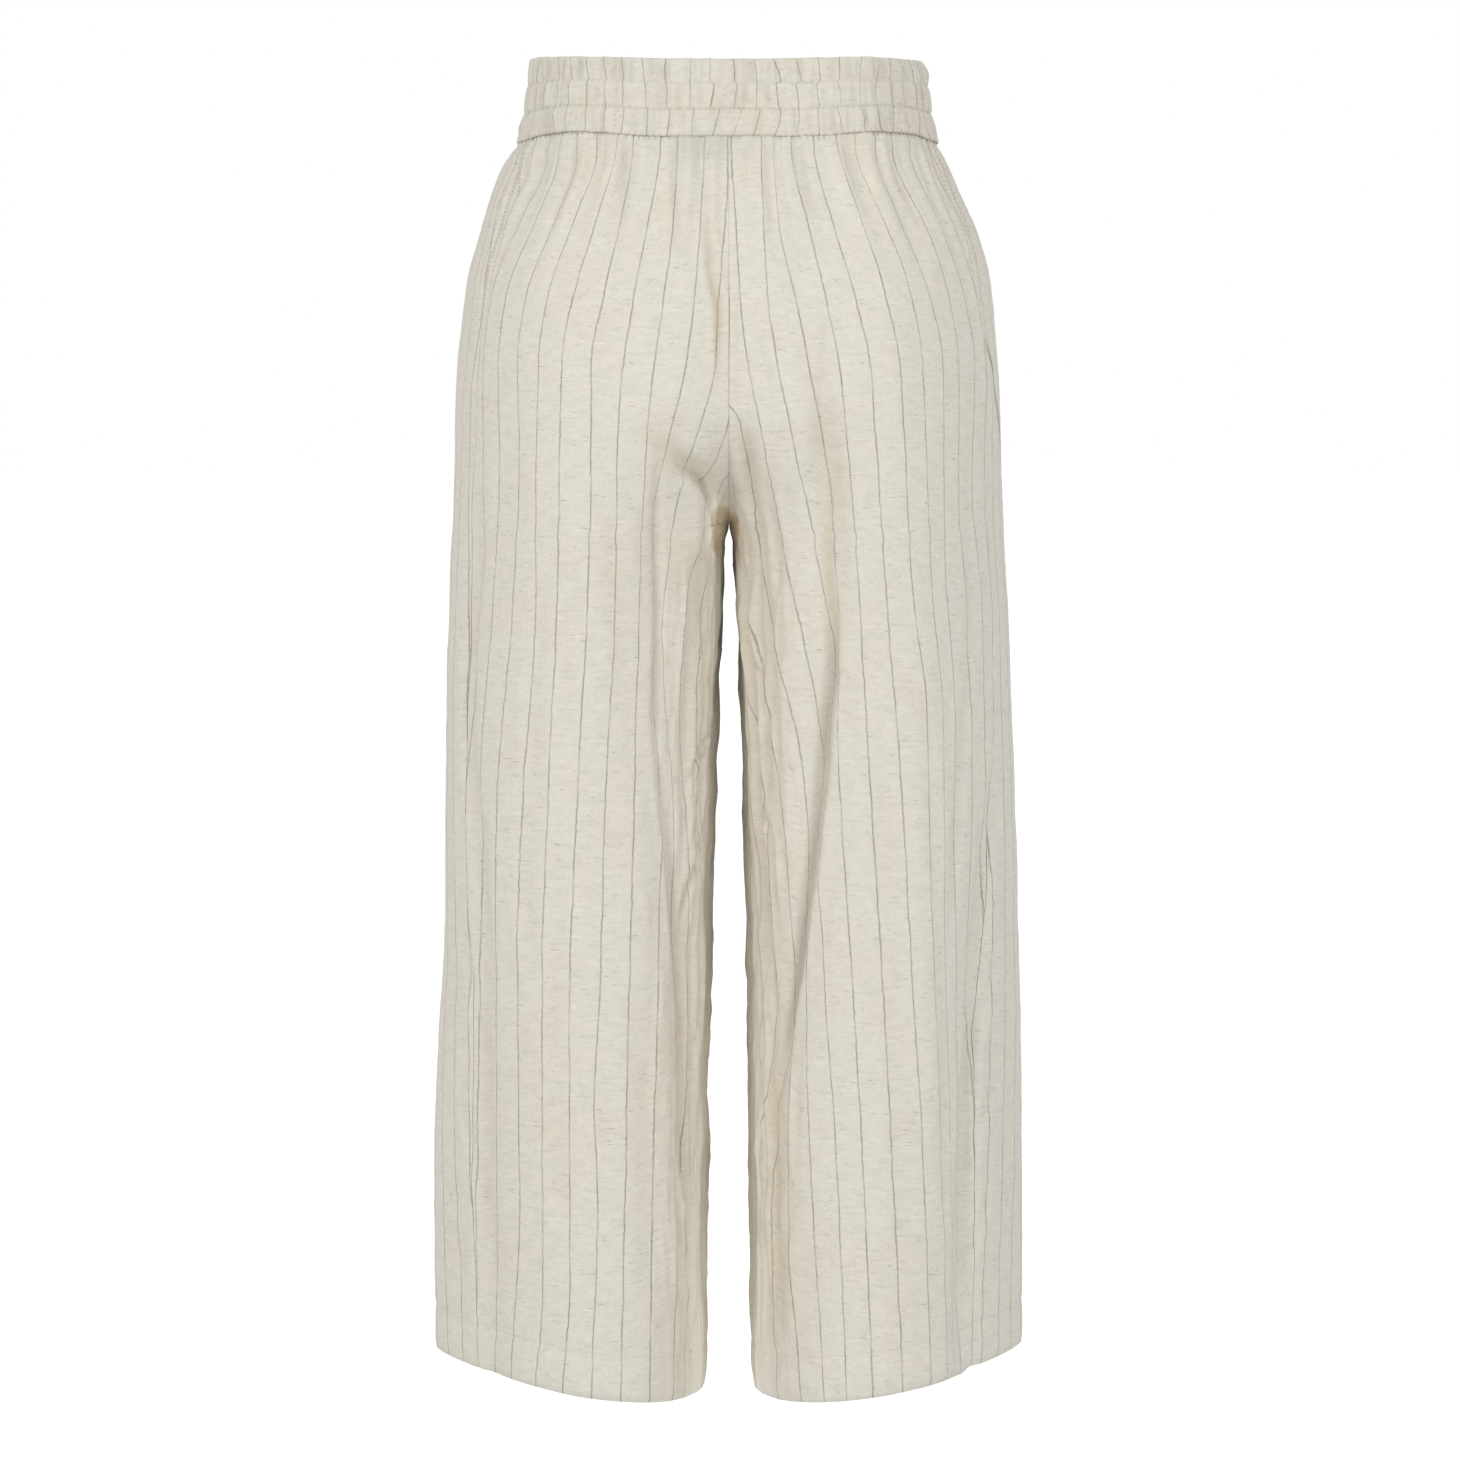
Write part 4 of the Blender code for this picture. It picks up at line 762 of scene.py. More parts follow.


# Painted light and shade along paths: warm bounce light painted where cloth lies over cloth (the seat seam's fold, the
# crotch and the deep valleys), painted shade in folds and hollows, painted highlights on the gathers and the pocket
# mouth's painted shadow.
# warm and shade are from 0 to 1; a shade below 0 paints light instead.
PAINTED_LIGHT_COLUMNS = "side face warm shade half_width path"
PAINTED_LIGHT_TINTS = (
    ("left", "back", 0.10, 0.09, 3.2, ((-26, 38), (-50, 36), (-84, 34), (-112, 33))),
    ("left", "back", 0.35, -0.10, 3.0, ((-27, 45), (-52, 44), (-90, 41), (-110, 40))),
    ("left", "back", 0.10, 0.09, 3.0, ((-26, 63), (-50, 66), (-76, 69), (-96, 71))),
    ("left", "back", 0.35, -0.10, 3.4, ((-27, 81), (-46, 85), (-70, 92), (-92, 98))),
    ("left", "back", 0.10, 0.08, 3.0, ((-27, 92), (-44, 98), (-62, 106), (-88, 116))),
    ("right", "back", 0.55, -0.22, 3.4, ((-25, 26.5), (-44, 27.5), (-70, 29), (-98, 33))),
    ("right", "back", 0.15, 0.10, 2.2, ((-25, 21.5), (-46, 22), (-74, 24), (-104, 27))),
    ("right", "back", 0.10, 0.09, 3.4, ((-25, 43), (-42, 46), (-64, 50), (-88, 54))),
    ("right", "back", 0.35, -0.12, 3.2, ((-25, 63), (-46, 68), (-70, 73), (-92, 77))),
    ("right", "back", 0.60, -0.18, 2.8, ((-26, 82), (-48, 90), (-76, 97), (-104, 103), (-120, 106))),
    ("right", "back", 0.10, 0.09, 3.2, ((-27, 98), (-48, 108), (-72, 119), (-98, 130))),
    ("left", "back", 0.55, 0.00, 4.5, ((-90, 6), (-130, 7), (-160, 6.5), (-206, 5.5))),
    ("left", "back", 0.40, 0.08, 1.8, ((-44, 16), (-80, 14), (-113, 12), (-139, 6.5), (-178, 5.5))),
    ("left", "back", 0.50, 0.13, 8.0, ((-226, 42), (-234, 30), (-241, 19), (-256, 8))),
    ("left", "back", 0.90, 0.30, 5.5, ((-258, 5), (-268, 6.5), (-280, 7.5), (-292, 9))),
    ("left", "back", 0.30, 0.24, 1.4, ((-262, 9.6), (-292, 10.0), (-320, 10.2), (-352, 12.2))),
    ("left", "back", 0.50, 0.10, 1.8, ((-399, 8), (-417, 15.5), (-432, 22.5), (-450, 28))),
    ("left", "back", 0.50, 0.12, 2.0, ((-448, 10), (-474, 15.5), (-495, 21.5), (-521, 28), (-556, 31))),
    ("left", "back", 0.40, 0.08, 1.8, ((-414, 11), (-438, 17), (-458, 21.5), (-490, 25.5))),
    ("left", "back", 0.60, 0.08, 4.0, ((-500, 36.5), (-548, 32), (-590, 30), (-650, 29))),
    ("left", "back", 0.35, 0.05, 2.2, ((-230, 47), (-270, 47), (-328, 46), (-380, 48.5), (-440, 46.5), (-500, 40), (-560, 34))),
    ("left", "back", 0.45, 0.00, 9.0, ((-560, 34), (-640, 30), (-720, 28), (-820, 29))),
    ("left", "back", 0.35, 0.03, 9.0, ((-205, 60), (-230, 40), (-240, 30))),
    ("right", "back", 0.55, 0.06, 5.0, ((-200, 2), (-221, 9), (-250, 13), (-277, 19), (-300, 23))),
    ("right", "back", 0.80, 0.08, 5.0, ((-268, 2.0), (-281, 4.2), (-298, 8), (-312, 11))),
    ("right", "back", 0.65, 0.16, 3.6, ((-372, 9), (-400, 12), (-440, 15), (-470, 18), (-520, 21), (-580, 23))),
    ("right", "back", 0.60, 0.20, 4.8, ((-290, 7), (-312, 11), (-345, 13.5), (-385, 17.5), (-426, 19.5), (-490, 22))),
    ("right", "back", 0.50, 0.05, 2.2, ((-215, 62.5), (-240, 63.6), (-289, 64.6), (-340, 66.5))),
    ("right", "back", 0.00, 0.07, 2.2, ((-160, 22), (-182, 27), (-204, 30))),
    ("right", "back", 0.00, 0.04, 3.5, ((-120, 58), (-150, 60), (-190, 60))),
    ("right", "back", 0.55, 0.07, 3.6, ((-262, 60.5), (-302, 62.4), (-330, 65.2), (-358, 68))),
    ("right", "back", 0.45, 0.08, 4.5, ((-300, 65), (-335, 66), (-367, 66), (-403, 62.5), (-434, 60), (-459, 57), (-493, 53), (-530, 47.5), (-580, 39.5), (-630, 32))),
    ("right", "back", 0.45, 0.00, 9.0, ((-560, 34), (-640, 30), (-720, 31), (-820, 35))),
    ("right", "back", 0.10, 0.75, 0.9, ((-172, 166), (-188.6, 169.9), (-216, 171.9), (-236, 175.3))),
)


def raised(x):
    """How far the elastic pulls the band's lower edge up beside the middle, above the cut line of the waist seam."""
    x = np.abs(x)
    return 5.0 * soft_step(x, 52.0, 108.0) * (1 - 0.5 * soft_step(x, 120.0, 137.0)) - 0.9 * (1 - soft_step(x, 36.0, 66.0))


def seam_beads(x, q, below, face):
    """Beads of shadow along the waist seam, where the gathers are caught."""
    beads = soft_step(-np.cos(2 * pi * (q / 4.1 + 0.5 * noise1(q + 900, 13.0, 61.0))) + 0.8 * noise1(q + 900, 8.0, 59.0), -0.1, 0.9)
    away = 1 - np.exp(-((x / 36.0) ** 4)) * (face == "back")
    return (0.16 * (1 - away) + 0.46 * beads * away) * np.exp(-((np.maximum(below + raised(x), 0) / 1.25) ** 2))


def painted_light_and_tone(panel, creases):
    """How warm and how shaded the cloth is painted at each point, from 0 to 1: mostly painted light and shade, with
    some random tone in the warmth.
    """
    # Painted shade and painted warm bounce light in the hollows of the creases.
    deep = np.clip(-creases / 3.2, 0, 1)
    warm, shade = 0.28 * deep, 0.06 * deep
    for side, face, w, dark, width, path in PAINTED_LIGHT_TINTS:
        if side == panel.side and face == panel.face:
            at = stroke(panel, path, width)
            warm, shade = warm + w * at, shade + dark * at
    # Painted warm bounce light down the inside of each leg, and painted shade in its wrinkles.
    legs = soft_step(-panel.z0, 262.0, 330.0)
    p = panel.points() * ((1, 1, 1) if panel.side == "left" else (-1, 1, 1)) + (500, 500, 2000)
    inner = np.exp(-((np.maximum(panel.x - 12.0, 0) / 26.0) ** 2)) * legs
    warm = warm + inner * (0.50 + 0.30 * noise3(p + 33, (9.0, 20.0, 60.0)))
    line = np.clip(-ridged(p + (411, 0, 33), (6.0, 20.0, 46.0)), 0, 1) ** 2
    shade = shade + 0.13 * inner * line
    # The middle of the back is a little greyer just under the band, as painted cool shade, and the outer right leg is
    # painted cooler, as cooler light; the rest of the warmth wanders at random.
    grey = np.exp(-(((panel.x * (1 if panel.side == "left" else -1) - 6.0) / 30.0) ** 6)) * np.exp(-((panel.below_waist / 20.0) ** 4)) * (panel.face == "back")
    shade = shade + 0.11 * grey
    warm = warm - 0.55 * grey + 0.18 * noise3(p + 55, (30.0, 30.0, 42.0)) + 0.12 * noise3(p + 77, (12.0, 12.0, 16.0))
    if panel.side == "right":
        warm = warm - 0.32 * soft_step(panel.x, 118.0, 165.0) * soft_step(-panel.z0, 90.0, 320.0)
    # Painted highlights and painted shade on the gathers under the band: lighter and warmer on their crests, shaded
    # between them.
    streaks = noise1(panel.u, 5.5, 66.0) + 0.6 * noise1(panel.u, 3.0, 67.0)
    hang = np.exp(-((np.maximum(panel.below_waist, 0) / 52.0) ** 1.5))
    warm = warm + 0.42 * np.clip(streaks - 0.1, -0.4, 1) * hang
    shade = shade + (0.10 * np.clip(-streaks - 0.1, 0, 1) - 0.12 * np.clip(streaks - 0.35, 0, 1)) * hang
    if panel.side == "right" and panel.face == "front":
        # The right pocket's mouth lies open a little, just in front of the side seam, and its shadow is painted as a
        # dark line.
        from_seam = smooth_at(panel.z0, np.array((-250.0, -211.0, -190.0, -169.0, -156.0)), np.array((52.0, 32.0, 18.0, 8.0, 1.0)))
        long = soft_step(-panel.z0, 150.0, 166.0) * (1 - soft_step(-panel.z0, 225.0, 250.0))
        shade = shade + 0.62 * long * np.exp(-(((panel.s - from_seam) / 3.0) ** 2))
    # Painted light between the legs: a shade below 0 paints the cloth lighter and warmer, as light thrown back from the
    # other leg.
    falls = 8.0 + 1.5 * soft_step(-panel.z0, 380.0, 480.0)
    recess = 4.2 * (panel.side == "left") * soft_step(-panel.z0, 250.0, 262.0) * (1 - soft_step(-panel.z0, 288.0, 300.0))
    begin = 4.0 + recess + 0.024 * np.maximum(-panel.z0 - 278, 0)
    slit = np.exp(-((np.maximum(panel.x - begin, 0) / falls) ** 2)) * soft_step(-panel.z0, 250.0, 276.0)
    slit = slit * (1 - 0.22 * soft_step(-panel.z0, 297.0, 314.0)) * (1.0 if panel.face == "back" else 0.4)
    shade = np.where(slit > 0.02, shade * (1 - slit) - slit, shade)
    if panel.face == "back":
        # Painted shade: thin dark strips along both edges of the gap between the legs.
        edge = ((-286, 5.0), (-296, 5.6), (-305, 6.6)) if panel.side == "left" else ((-279, 1.4), (-292, 2.9), (-306, 3.9))
        rim = stroke(panel, edge, 1.0)
        shade = shade * (1 - rim) + 0.55 * rim
        if panel.side == "left":
            # The recess beside the gap's top is painted as deep brown shade, with an upright edge.
            wide = panel.x - 2.0 * soft_step(-panel.z0, 270.0, 286.0)
            deep = soft_step(-panel.z0, 258.0, 270.0) * (1 - soft_step(-panel.z0, 292.0, 300.0)) * (1 - soft_step(wide, 8.6, 10.4))
            shade, warm = shade * (1 - deep) - deep, warm + 0.9 * deep
    return np.clip(warm + 0.04, -1, 1), np.clip(shade, -1, 1)


def hollows(panel):
    """Where the worn cloth falls in a little from the plain sections: along the inseams, so that each leg's back corner
    stands nearest to the other leg, and under the band at the wearer's left."""
    z = panel.z0
    legs = soft_step(-z, 292.0, 350.0) * soft_step(z - HEM_Z, 34.0, 120.0)
    out = -3.0 * legs * np.exp(-((panel.e / 24.0) ** 2))
    if panel.side == "right" and panel.face == "back":
        out = out + 1.8 * soft_step(-z, 270.0, 300.0) * (1 - soft_step(-z, 345.0, 400.0)) * np.exp(-(((panel.e - 42.0) / 17.0) ** 2))
    if panel.side == "left":
        fall = smooth_at(z, np.array((-100.0, -82.0, -67.0, -51.0, -41.0, -35.0, -30.0)), np.array((0.0, 0.5, 1.4, 3.4, 4.0, 2.2, 0.0)))
        out = out - fall * np.exp(-((panel.s / 46.0) ** 2))
    return out


def panel_surface(side, face, columns):
    """One panel's points in place, with the panel they come from and its painted light and shade."""
    panel = Panel(side, face, columns)
    p = panel.points()
    out = panel.out(p)
    creases = crease_relief(panel)
    panel.warm, panel.shade = painted_light_and_tone(panel, creases)
    relief = gather_relief(panel) + crumple_relief(panel)
    relief = relief * np.where(panel.z0 > CROTCH_Z - 1e-6, 1 - np.exp(-((panel.e / 4.5) ** 2)), 1.0)
    flat_hem = 0.35 + 0.65 * soft_step(panel.z0 - HEM_Z, 4.0, 62.0)  # the turn-up keeps the lower edge flat
    # Above the crotch the two sides run on into each other: what differs between them dies out just before the seam.
    joined = soft_step(-panel.z0, 204.0, 222.0) * (1 - soft_step(-panel.z0, 260.0, 272.0)) * np.exp(-((panel.e / 2.6) ** 2))
    relief = (creases + relief) * flat_hem * (1 - joined) + seam_relief(panel) + hollows(panel)
    p = tucks(panel, p + out * relief[..., None], out)
    seat = panel.z0 > CROTCH_Z - 1e-6
    to_seam = np.where(seat, np.exp(-((panel.e / 1.6) ** 2)), 0.0)
    p[..., 0] = np.where(seat, np.maximum(p[..., 0], 0.006) * (1 - to_seam) + 0.006 * to_seam, p[..., 0])
    if side == "right":
        # Beyond the fold by the side seam the right hem hangs a little higher.
        p[..., 2] += 3.4 * soft_step(panel.x, 154.0, 160.0) * soft_step(-panel.z0, 700.0, 845.0)
    return panel, p, out


# ================================================================ meshes ================================

ROWS_ALL = {}


def make_mesh(name, points, uv, faces, material, thick=THIN, smooth=True, more=()):
    """A mesh of points in millimetres, with its flat cloth's map in metres, made a thin shell inwards. more holds
    other maps by name: the distances from the seams, and how warm and how shaded the cloth is painted."""
    mesh = bpy.data.meshes.new(name)
    mesh.from_pydata([], [], [])
    nv, nf = len(points), len(faces)
    mesh.vertices.add(nv)
    mesh.vertices.foreach_set("co", (points * 0.001).astype(np.float32).ravel())
    mesh.loops.add(nf * 4)
    mesh.loops.foreach_set("vertex_index", faces.astype(np.int32).ravel())
    mesh.polygons.add(nf)
    mesh.polygons.foreach_set("loop_start", np.arange(0, nf * 4, 4, dtype=np.int32))
    mesh.polygons.foreach_set("loop_total", np.full(nf, 4, dtype=np.int32))
    mesh.update(calc_edges=True)
    layer = mesh.uv_layers.new(name="flat_cloth")
    layer.data.foreach_set("uv", (uv * 0.001).astype(np.float32).ravel())
    for layer_name, values in more:
        mesh.uv_layers.new(name=layer_name).data.foreach_set("uv", values.astype(np.float32).ravel())
    mesh.uv_layers.active_index = 0
    mesh.validate()
    if smooth:
        mesh.polygons.foreach_set("use_smooth", np.ones(nf, dtype=bool))
    # The cut edges stay crisp.
    sides = np.zeros(len(mesh.loops), dtype=np.int32)
    mesh.loops.foreach_get("edge_index", sides)
    crisp = mesh.attributes.new("sharp_edge", "BOOLEAN", "EDGE")
    crisp.data.foreach_set("value", np.bincount(sides, minlength=len(mesh.edges)) < 2)
    mesh.materials.append(material)
    obj = bpy.data.objects.new(name, mesh)
    bpy.context.scene.collection.objects.link(obj)
    if thick:
        wall = obj.modifiers.new("wall", "SOLIDIFY")
        wall.thickness = thick * 0.001
        wall.offset = -1.0
        wall.use_even_offset = False
    return obj


def grid_faces(n, m, closed=False):
    """Quads of a grid of n rows of m points. closed joins the last column to the first."""
    cols = m if closed else m - 1
    i, j = np.meshgrid(np.arange(n - 1), np.arange(cols), indexing="ij")
    k = (j + 1) % m
    return np.stack((i * m + j, (i + 1) * m + j, (i + 1) * m + k, i * m + k), -1).reshape(-1, 4)


def grid_uv(u, v, closed_width=None):
    """Each quad corner's place in the flat cloth."""
    n, m = u.shape
    cols = m - 1 if closed_width is None else m
    i, j = np.meshgrid(np.arange(n - 1), np.arange(cols), indexing="ij")
    k = (j + 1) % m
    extra = np.where(j + 1 == m, closed_width or 0.0, 0.0)
    a = np.stack((u[i, j], v[i, j]), -1)
    b = np.stack((u[i + 1, j], v[i + 1, j]), -1)
    c = np.stack((u[i + 1, k] + extra, v[i + 1, k]), -1)
    d = np.stack((u[i, k] + extra, v[i, k]), -1)
    return np.stack((a, b, c, d), 2).reshape(-1, 2)


def ring_of_waist(count):
    """A ring round the whole waist: the panels' top line, its outward directions, how far the gathers pull it in, and the
    heights of the band's two edges. Columns are evenly spaced, from the front's middle round by the wearer's left."""
    halves = []
    for side in ("left", "right"):
        sec = section(TOP_Z, side)
        pts, along = sec[0].copy(), sec[1]
        t = np.gradient(pts, axis=0)
        t /= np.linalg.norm(t, axis=1, keepdims=True)
        out = np.stack((t[:, 1], -t[:, 0]), -1)
        out[0], out[-1] = (0, -1), (0, 1)
        pts[0, 0] = pts[-1, 0] = 0.0
        halves.append((pts, out, inward(TOP_Z, side, along, sec)))
    (a, oa, ia), (b, ob, ib) = halves
    line = np.vstack((a, (b * (-1, 1))[::-1][1:]))
    out = np.vstack((oa, (ob * (-1, 1))[::-1][1:]))
    pulled = np.concatenate((ia, ib[::-1][1:]))
    gone = np.concatenate(([0.0], np.cumsum(np.linalg.norm(np.diff(line, axis=0), axis=1))))
    d = np.linspace(0, gone[-1], count + 1)[:-1]
    p, n = (np.stack([np.interp(d, gone, q[:, i]) for i in (0, 1)], -1) for q in (line, out))
    for _ in range(6):
        n = 0.25 * np.roll(n, 1, 0) + 0.5 * n + 0.25 * np.roll(n, -1, 0)
    n /= np.linalg.norm(n, axis=1, keepdims=True)
    half_x = a[:, 0].max()
    top = seam_height(p[:, 0], p[:, 1], BAND_TOP_SIDE, BAND_TOP_BACK, BAND_TOP_FRONT, half_x)
    low = seam_height(p[:, 0], p[:, 1], SEAM_SIDE, SEAM_BACK, SEAM_FRONT, half_x)
    return p, n, np.interp(d, gone, pulled), top, low, d, gone[-1]


# How far the outside of the band stands out from the panels' top line: nearly upright, then flaring to the waist seam.
SHOWN_COLUMNS = "share out"
SHOWN = ((0.00, -8.6), (0.28, -7.3), (0.50, -5.9), (0.66, -4.6), (0.84, -1.8), (1.00, 0.6))
BAND_STITCH = (0.31, 0.65)  # two rows of stitching round the band, as shares of its height from the top
BAND_FULL = 1.42  # cloth for each millimetre of the waist
BAND_ROUND = 745.0  # the waist's length along the middle of the band


def band_surface(columns=600, rows_out=42, rows_in=14):
    """The waistband: one strip that goes up inside, folds over the top and comes down outside in three gathered tunnels,
    down to where it is rolled under at the waist seam."""
    share_cols = np.array(SHOWN, float).T
    base, normal, pulled, top, low, d, total = ring_of_waist(columns)
    lifted = raised(base[:, 0])
    low = low + lifted
    x = d / total * 1000.0
    outer = np.linspace(0.0, 1.0, rows_out)
    outer = outer - 0.5 * np.sin(2 * pi * outer) / (2 * pi) * 0.3
    grid, u, v, shades = [], [], [], []
    fullness = BAND_FULL
    # (share of the height, how far it lies inside the outer wall)
    # The seam's turnings hang down inside, so that no light shows between the band and the panels.
    profile = [(1.055, 2.3), (1.03, 2.6), (1.0, 2.9)] + [(x, 3.0) for x in np.linspace(0.97, 0.06, rows_in)]
    profile += [(0.024, 2.75), (0.006, 2.2), (-0.004, 1.5), (0.0, 0.75), (0.012, 0.25)]
    profile += [(x, 0.0) for x in outer if 0.02 < x < 0.97] + [(0.975, 0.0), (0.988, 0.0), (1.0, 0.1)]
    profile += [(1.006, 0.5), (1.002, 1.2), (0.985, 1.8)]
    gone = 0.0
    last = None
    loops = round(total / 4.1)
    loop = np.cos(2 * pi * (x / 1000.0 * loops + 0.5 * noise1(x, 13.0, 61.0)))  # the puckers caught in the seam
    for k, (share, inner) in enumerate(profile):
        reach = float(smooth_at(np.array(np.clip(share, 0, 1)), share_cols[0], share_cols[1]))
        # The top edge is rounder at the wearer's right.
        corner = soft_step(-base[:, 0], 92.0, 132.0) * float(1 - soft_step(share, 0.0, 0.20))
        p = base + normal * (reach - inner - (pulled + 0.22 * lifted) * float(soft_step(share, 0.72, 1.0)) - 2.2 * corner)[:, None]
        z = top + (low - top) * share - 1.6 * corner
        height = float(np.mean(top - low))
        outside = inner < 1.0
        if last is not None:
            gone += np.hypot((share - last[0]) * height, (inner - last[1]))
        last = (share, inner)
        # Tunnels stand out between the stitch rows.
        edges = (0.0,) + BAND_STITCH + (1.0,)
        i = int(np.clip(np.searchsorted(edges, share, side="right") - 1, 0, 2))
        f = np.clip((share - edges[i]) / (edges[i + 1] - edges[i]), 0, 1)
        bulge = np.sin(pi * f) ** 0.7 * (1.0 if i else 0.8)
        at_stitch = min(abs(share - q) for q in BAND_STITCH)
        # Puckers: gathers that run through a tunnel and change at each row of stitching.
        lane = 11.0 + 3.0 * i
        long = noise1(x, 7.5, lane) * 0.5 + noise1(x, 4.3, lane + 1) * 0.55 + noise1(x, 2.6, lane + 2) * 0.42
        through = noise1(x, 6.1, 40.0) * 0.4 + noise1(x, 3.3, 41.0) * 0.3
        lean = {0: 0.0, 1: 0.0, 2: 5.0}[i] * (f - 0.5)
        slant = noise1(x + lean * noise1(x, 60.0, 51.0) * 2.5, 5.6, lane + 3) * 0.6
        amount = 0.44 + 0.88 * np.sin(pi * f) ** 0.8
        relief = (long * amount + through * 0.55 + slant * amount) * (1.0 if outside else 0.35)
        relief = relief * (1.0 - 0.55 * np.exp(-((at_stitch / 0.02) ** 2)))
        relief = relief + (0.55 if i == 0 else 0.3) * bulge * (1.0 if outside else 0.0)
        relief = relief - 0.45 * np.exp(-((at_stitch / 0.018) ** 2)) * (1.0 if outside else 0.3)
        if outside and i == 2:
            # Close puckers along the waist seam, except across the middle of the back.
            middle = np.exp(-((p[:, 0] / 30.0) ** 4)) * (p[:, 1] > 0)
            near = float(soft_step(share, 0.80, 0.97))
            chain = 0.22 * loop + noise1(x, 4.4, 56.0) * 0.15
            relief = relief * (1 - 0.8 * near) + chain * near * (1 - 0.85 * middle)
            z = z + 0.35 * loop * float(soft_step(share, 0.95, 0.985)) * (1 - 0.85 * middle)
        p = p + normal * relief[:, None]
        # The seam's own painted shadow: a thin line in the middle of the back and a chain of dots beside it, with
        # painted shade along the rows of stitching and in streaks down the puckers.
        dots = soft_step(0.75 * noise1(x, 9.0, 59.0) - loop, -0.1, 0.9)
        middle = np.exp(-((base[:, 0] / 34.0) ** 4)) * (base[:, 1] > 0)
        seam_line = float(np.exp(-(((share - 1.0) / 0.026) ** 2)))
        rows_of_stitches = max(float(np.exp(-((at_stitch / 0.012) ** 2))), 0.0)
        streaks = np.clip(noise1(x, 3.0, lane + 5) + 0.5 * noise1(x, 7.0, lane + 6), 0, 1)
        dark = seam_line * (0.22 * middle + 0.50 * dots * (1 - middle)) + rows_of_stitches * (0.07 + 0.22 * dots) + 0.16 * streaks * amount
        shades.append(np.clip(dark, 0, 1) if outside else np.zeros(columns))
        grid.append(np.column_stack((p, z + 0.35 * noise1(x, 9.0, 60.0) * (1 if share < 0.3 else 0.3))))
        # The grain: gathered, and jogged from tunnel to tunnel.
        turn = [float(soft_step(share, q - 0.03, q + 0.03)) for q in BAND_STITCH]
        jog = noise1(x, 31.0, 75.0) * 3.0 * turn[0] + noise1(x, 37.0, 77.0) * 3.5 * turn[1]
        sway = noise1(x, 70.0, 70.0) * 5.0 * max(0.33 - share, 0) / 0.33 + noise1(x, 90.0, 72.0) * 9.0 * max(share - 0.68, 0) / 0.32
        wave = noise1(x, 13.0, 80.0) * 2.6 + noise1(x, 6.0, 82.0) * 0.8
        wave = wave + noise1(x, 42.0, 90.0 + i) * (5.0, 4.0, 8.0)[i] * (f - 0.5) + noise1(x, 17.0, 94.0 + i) * 1.4 * np.sin(pi * f)
        u.append(x / 1000.0 * BAND_ROUND * fullness + jog + sway + wave)
        v.append(np.full(columns, gone))
    return np.array(grid), np.array(u), np.array(v), BAND_ROUND * fullness, np.array(shades), x


def hem_surface(side, columns=230):
    """The turn-up, as it shows inside the leg: a ring that follows the panels' own folded edge."""
    rows = []
    fronts, backs = {}, {}
    heights = HEM_Z + HEM_DEPTH * np.linspace(1, 0, 17)
    for z in heights:
        back = reach_of(z, side, "back")
        sec, start, end = back
        pts, along, at_side, cut, _ = sec
        d = cut + along[-1] * np.linspace(0, 1, columns + 1)[:-1]
        p, out = point_at(pts, along, d)
        move = inward(z, side, np.mod(d, along[-1]), sec)
        ripple = noise1(np.mod(d, along[-1]) + 700, 9.0, 90.0) * 0.25
        p = p - out * (move + 2.3 + ripple - 0.5 * np.exp(-(((z - HEM_Z) / 2.0) ** 2)))[:, None]
        raised = 3.4 * soft_step(p[:, 0], 154.0, 160.0) * float(soft_step(-z, 700.0, 845.0)) * (side == "right")
        rows.append(np.column_stack((p, z + tilt(z, p[:, 0]) + raised)))
        width = along[-1]
    rows = np.array(rows)
    u = np.tile(np.linspace(0, 1, columns + 1)[:-1] * width, (len(rows), 1))
    v = np.tile((-heights)[:, None], (1, columns))
    return rows, u, v, width


# ================================================================ materials ================================


class Shader:
    """A material's node tree, with short calls for the nodes that it takes."""

    def __init__(self, name):
        self.mat = bpy.data.materials.new(name)
        self.mat.use_nodes = True
        self.tree = self.mat.node_tree
        self.tree.nodes.clear()

    def node(self, kind, **settings):
        n = self.tree.nodes.new(kind)
        for k, v in settings.items():
            setattr(n, k, v)
        return n

    def wire(self, value, socket):
        if hasattr(value, "is_output"):
            self.tree.links.new(value, socket)
        else:
            socket.default_value = value

    def math(self, operation, *values, clamp=False):
        n = self.node("ShaderNodeMath", operation=operation, use_clamp=clamp)
        for v, socket in zip(values, n.inputs):
            self.wire(v, socket)
        return n.outputs[0]

    def ramp(self, value, low, high, to_low=0.0, to_high=1.0, smooth=True):
        n = self.node("ShaderNodeMapRange", interpolation_type="SMOOTHSTEP" if smooth else "LINEAR")
        self.wire(value, n.inputs["Value"])
        for name, v in (("From Min", low), ("From Max", high), ("To Min", to_low), ("To Max", to_high)):
            self.wire(v, n.inputs[name])
        return n.outputs["Result"]

    def vector(self, x, y, z=0.0):
        n = self.node("ShaderNodeCombineXYZ")
        for v, socket in zip((x, y, z), n.inputs):
            self.wire(v, socket)
        return n.outputs[0]

    def noise(self, vector, scale=1.0, detail=1.0, roughness=0.5):
        n = self.node("ShaderNodeTexNoise", noise_dimensions="3D")
        self.wire(vector, n.inputs["Vector"])
        n.inputs["Scale"].default_value = scale
        n.inputs["Detail"].default_value = detail
        n.inputs["Roughness"].default_value = roughness
        return n.outputs["Fac"]

    def mix(self, factor, a, b, blend="MIX"):
        n = self.node("ShaderNodeMix", data_type="RGBA", blend_type=blend, clamp_factor=True)
        self.wire(factor, n.inputs[0])
        self.wire(a, n.inputs[6])
        self.wire(b, n.inputs[7])
        return n.outputs[2]


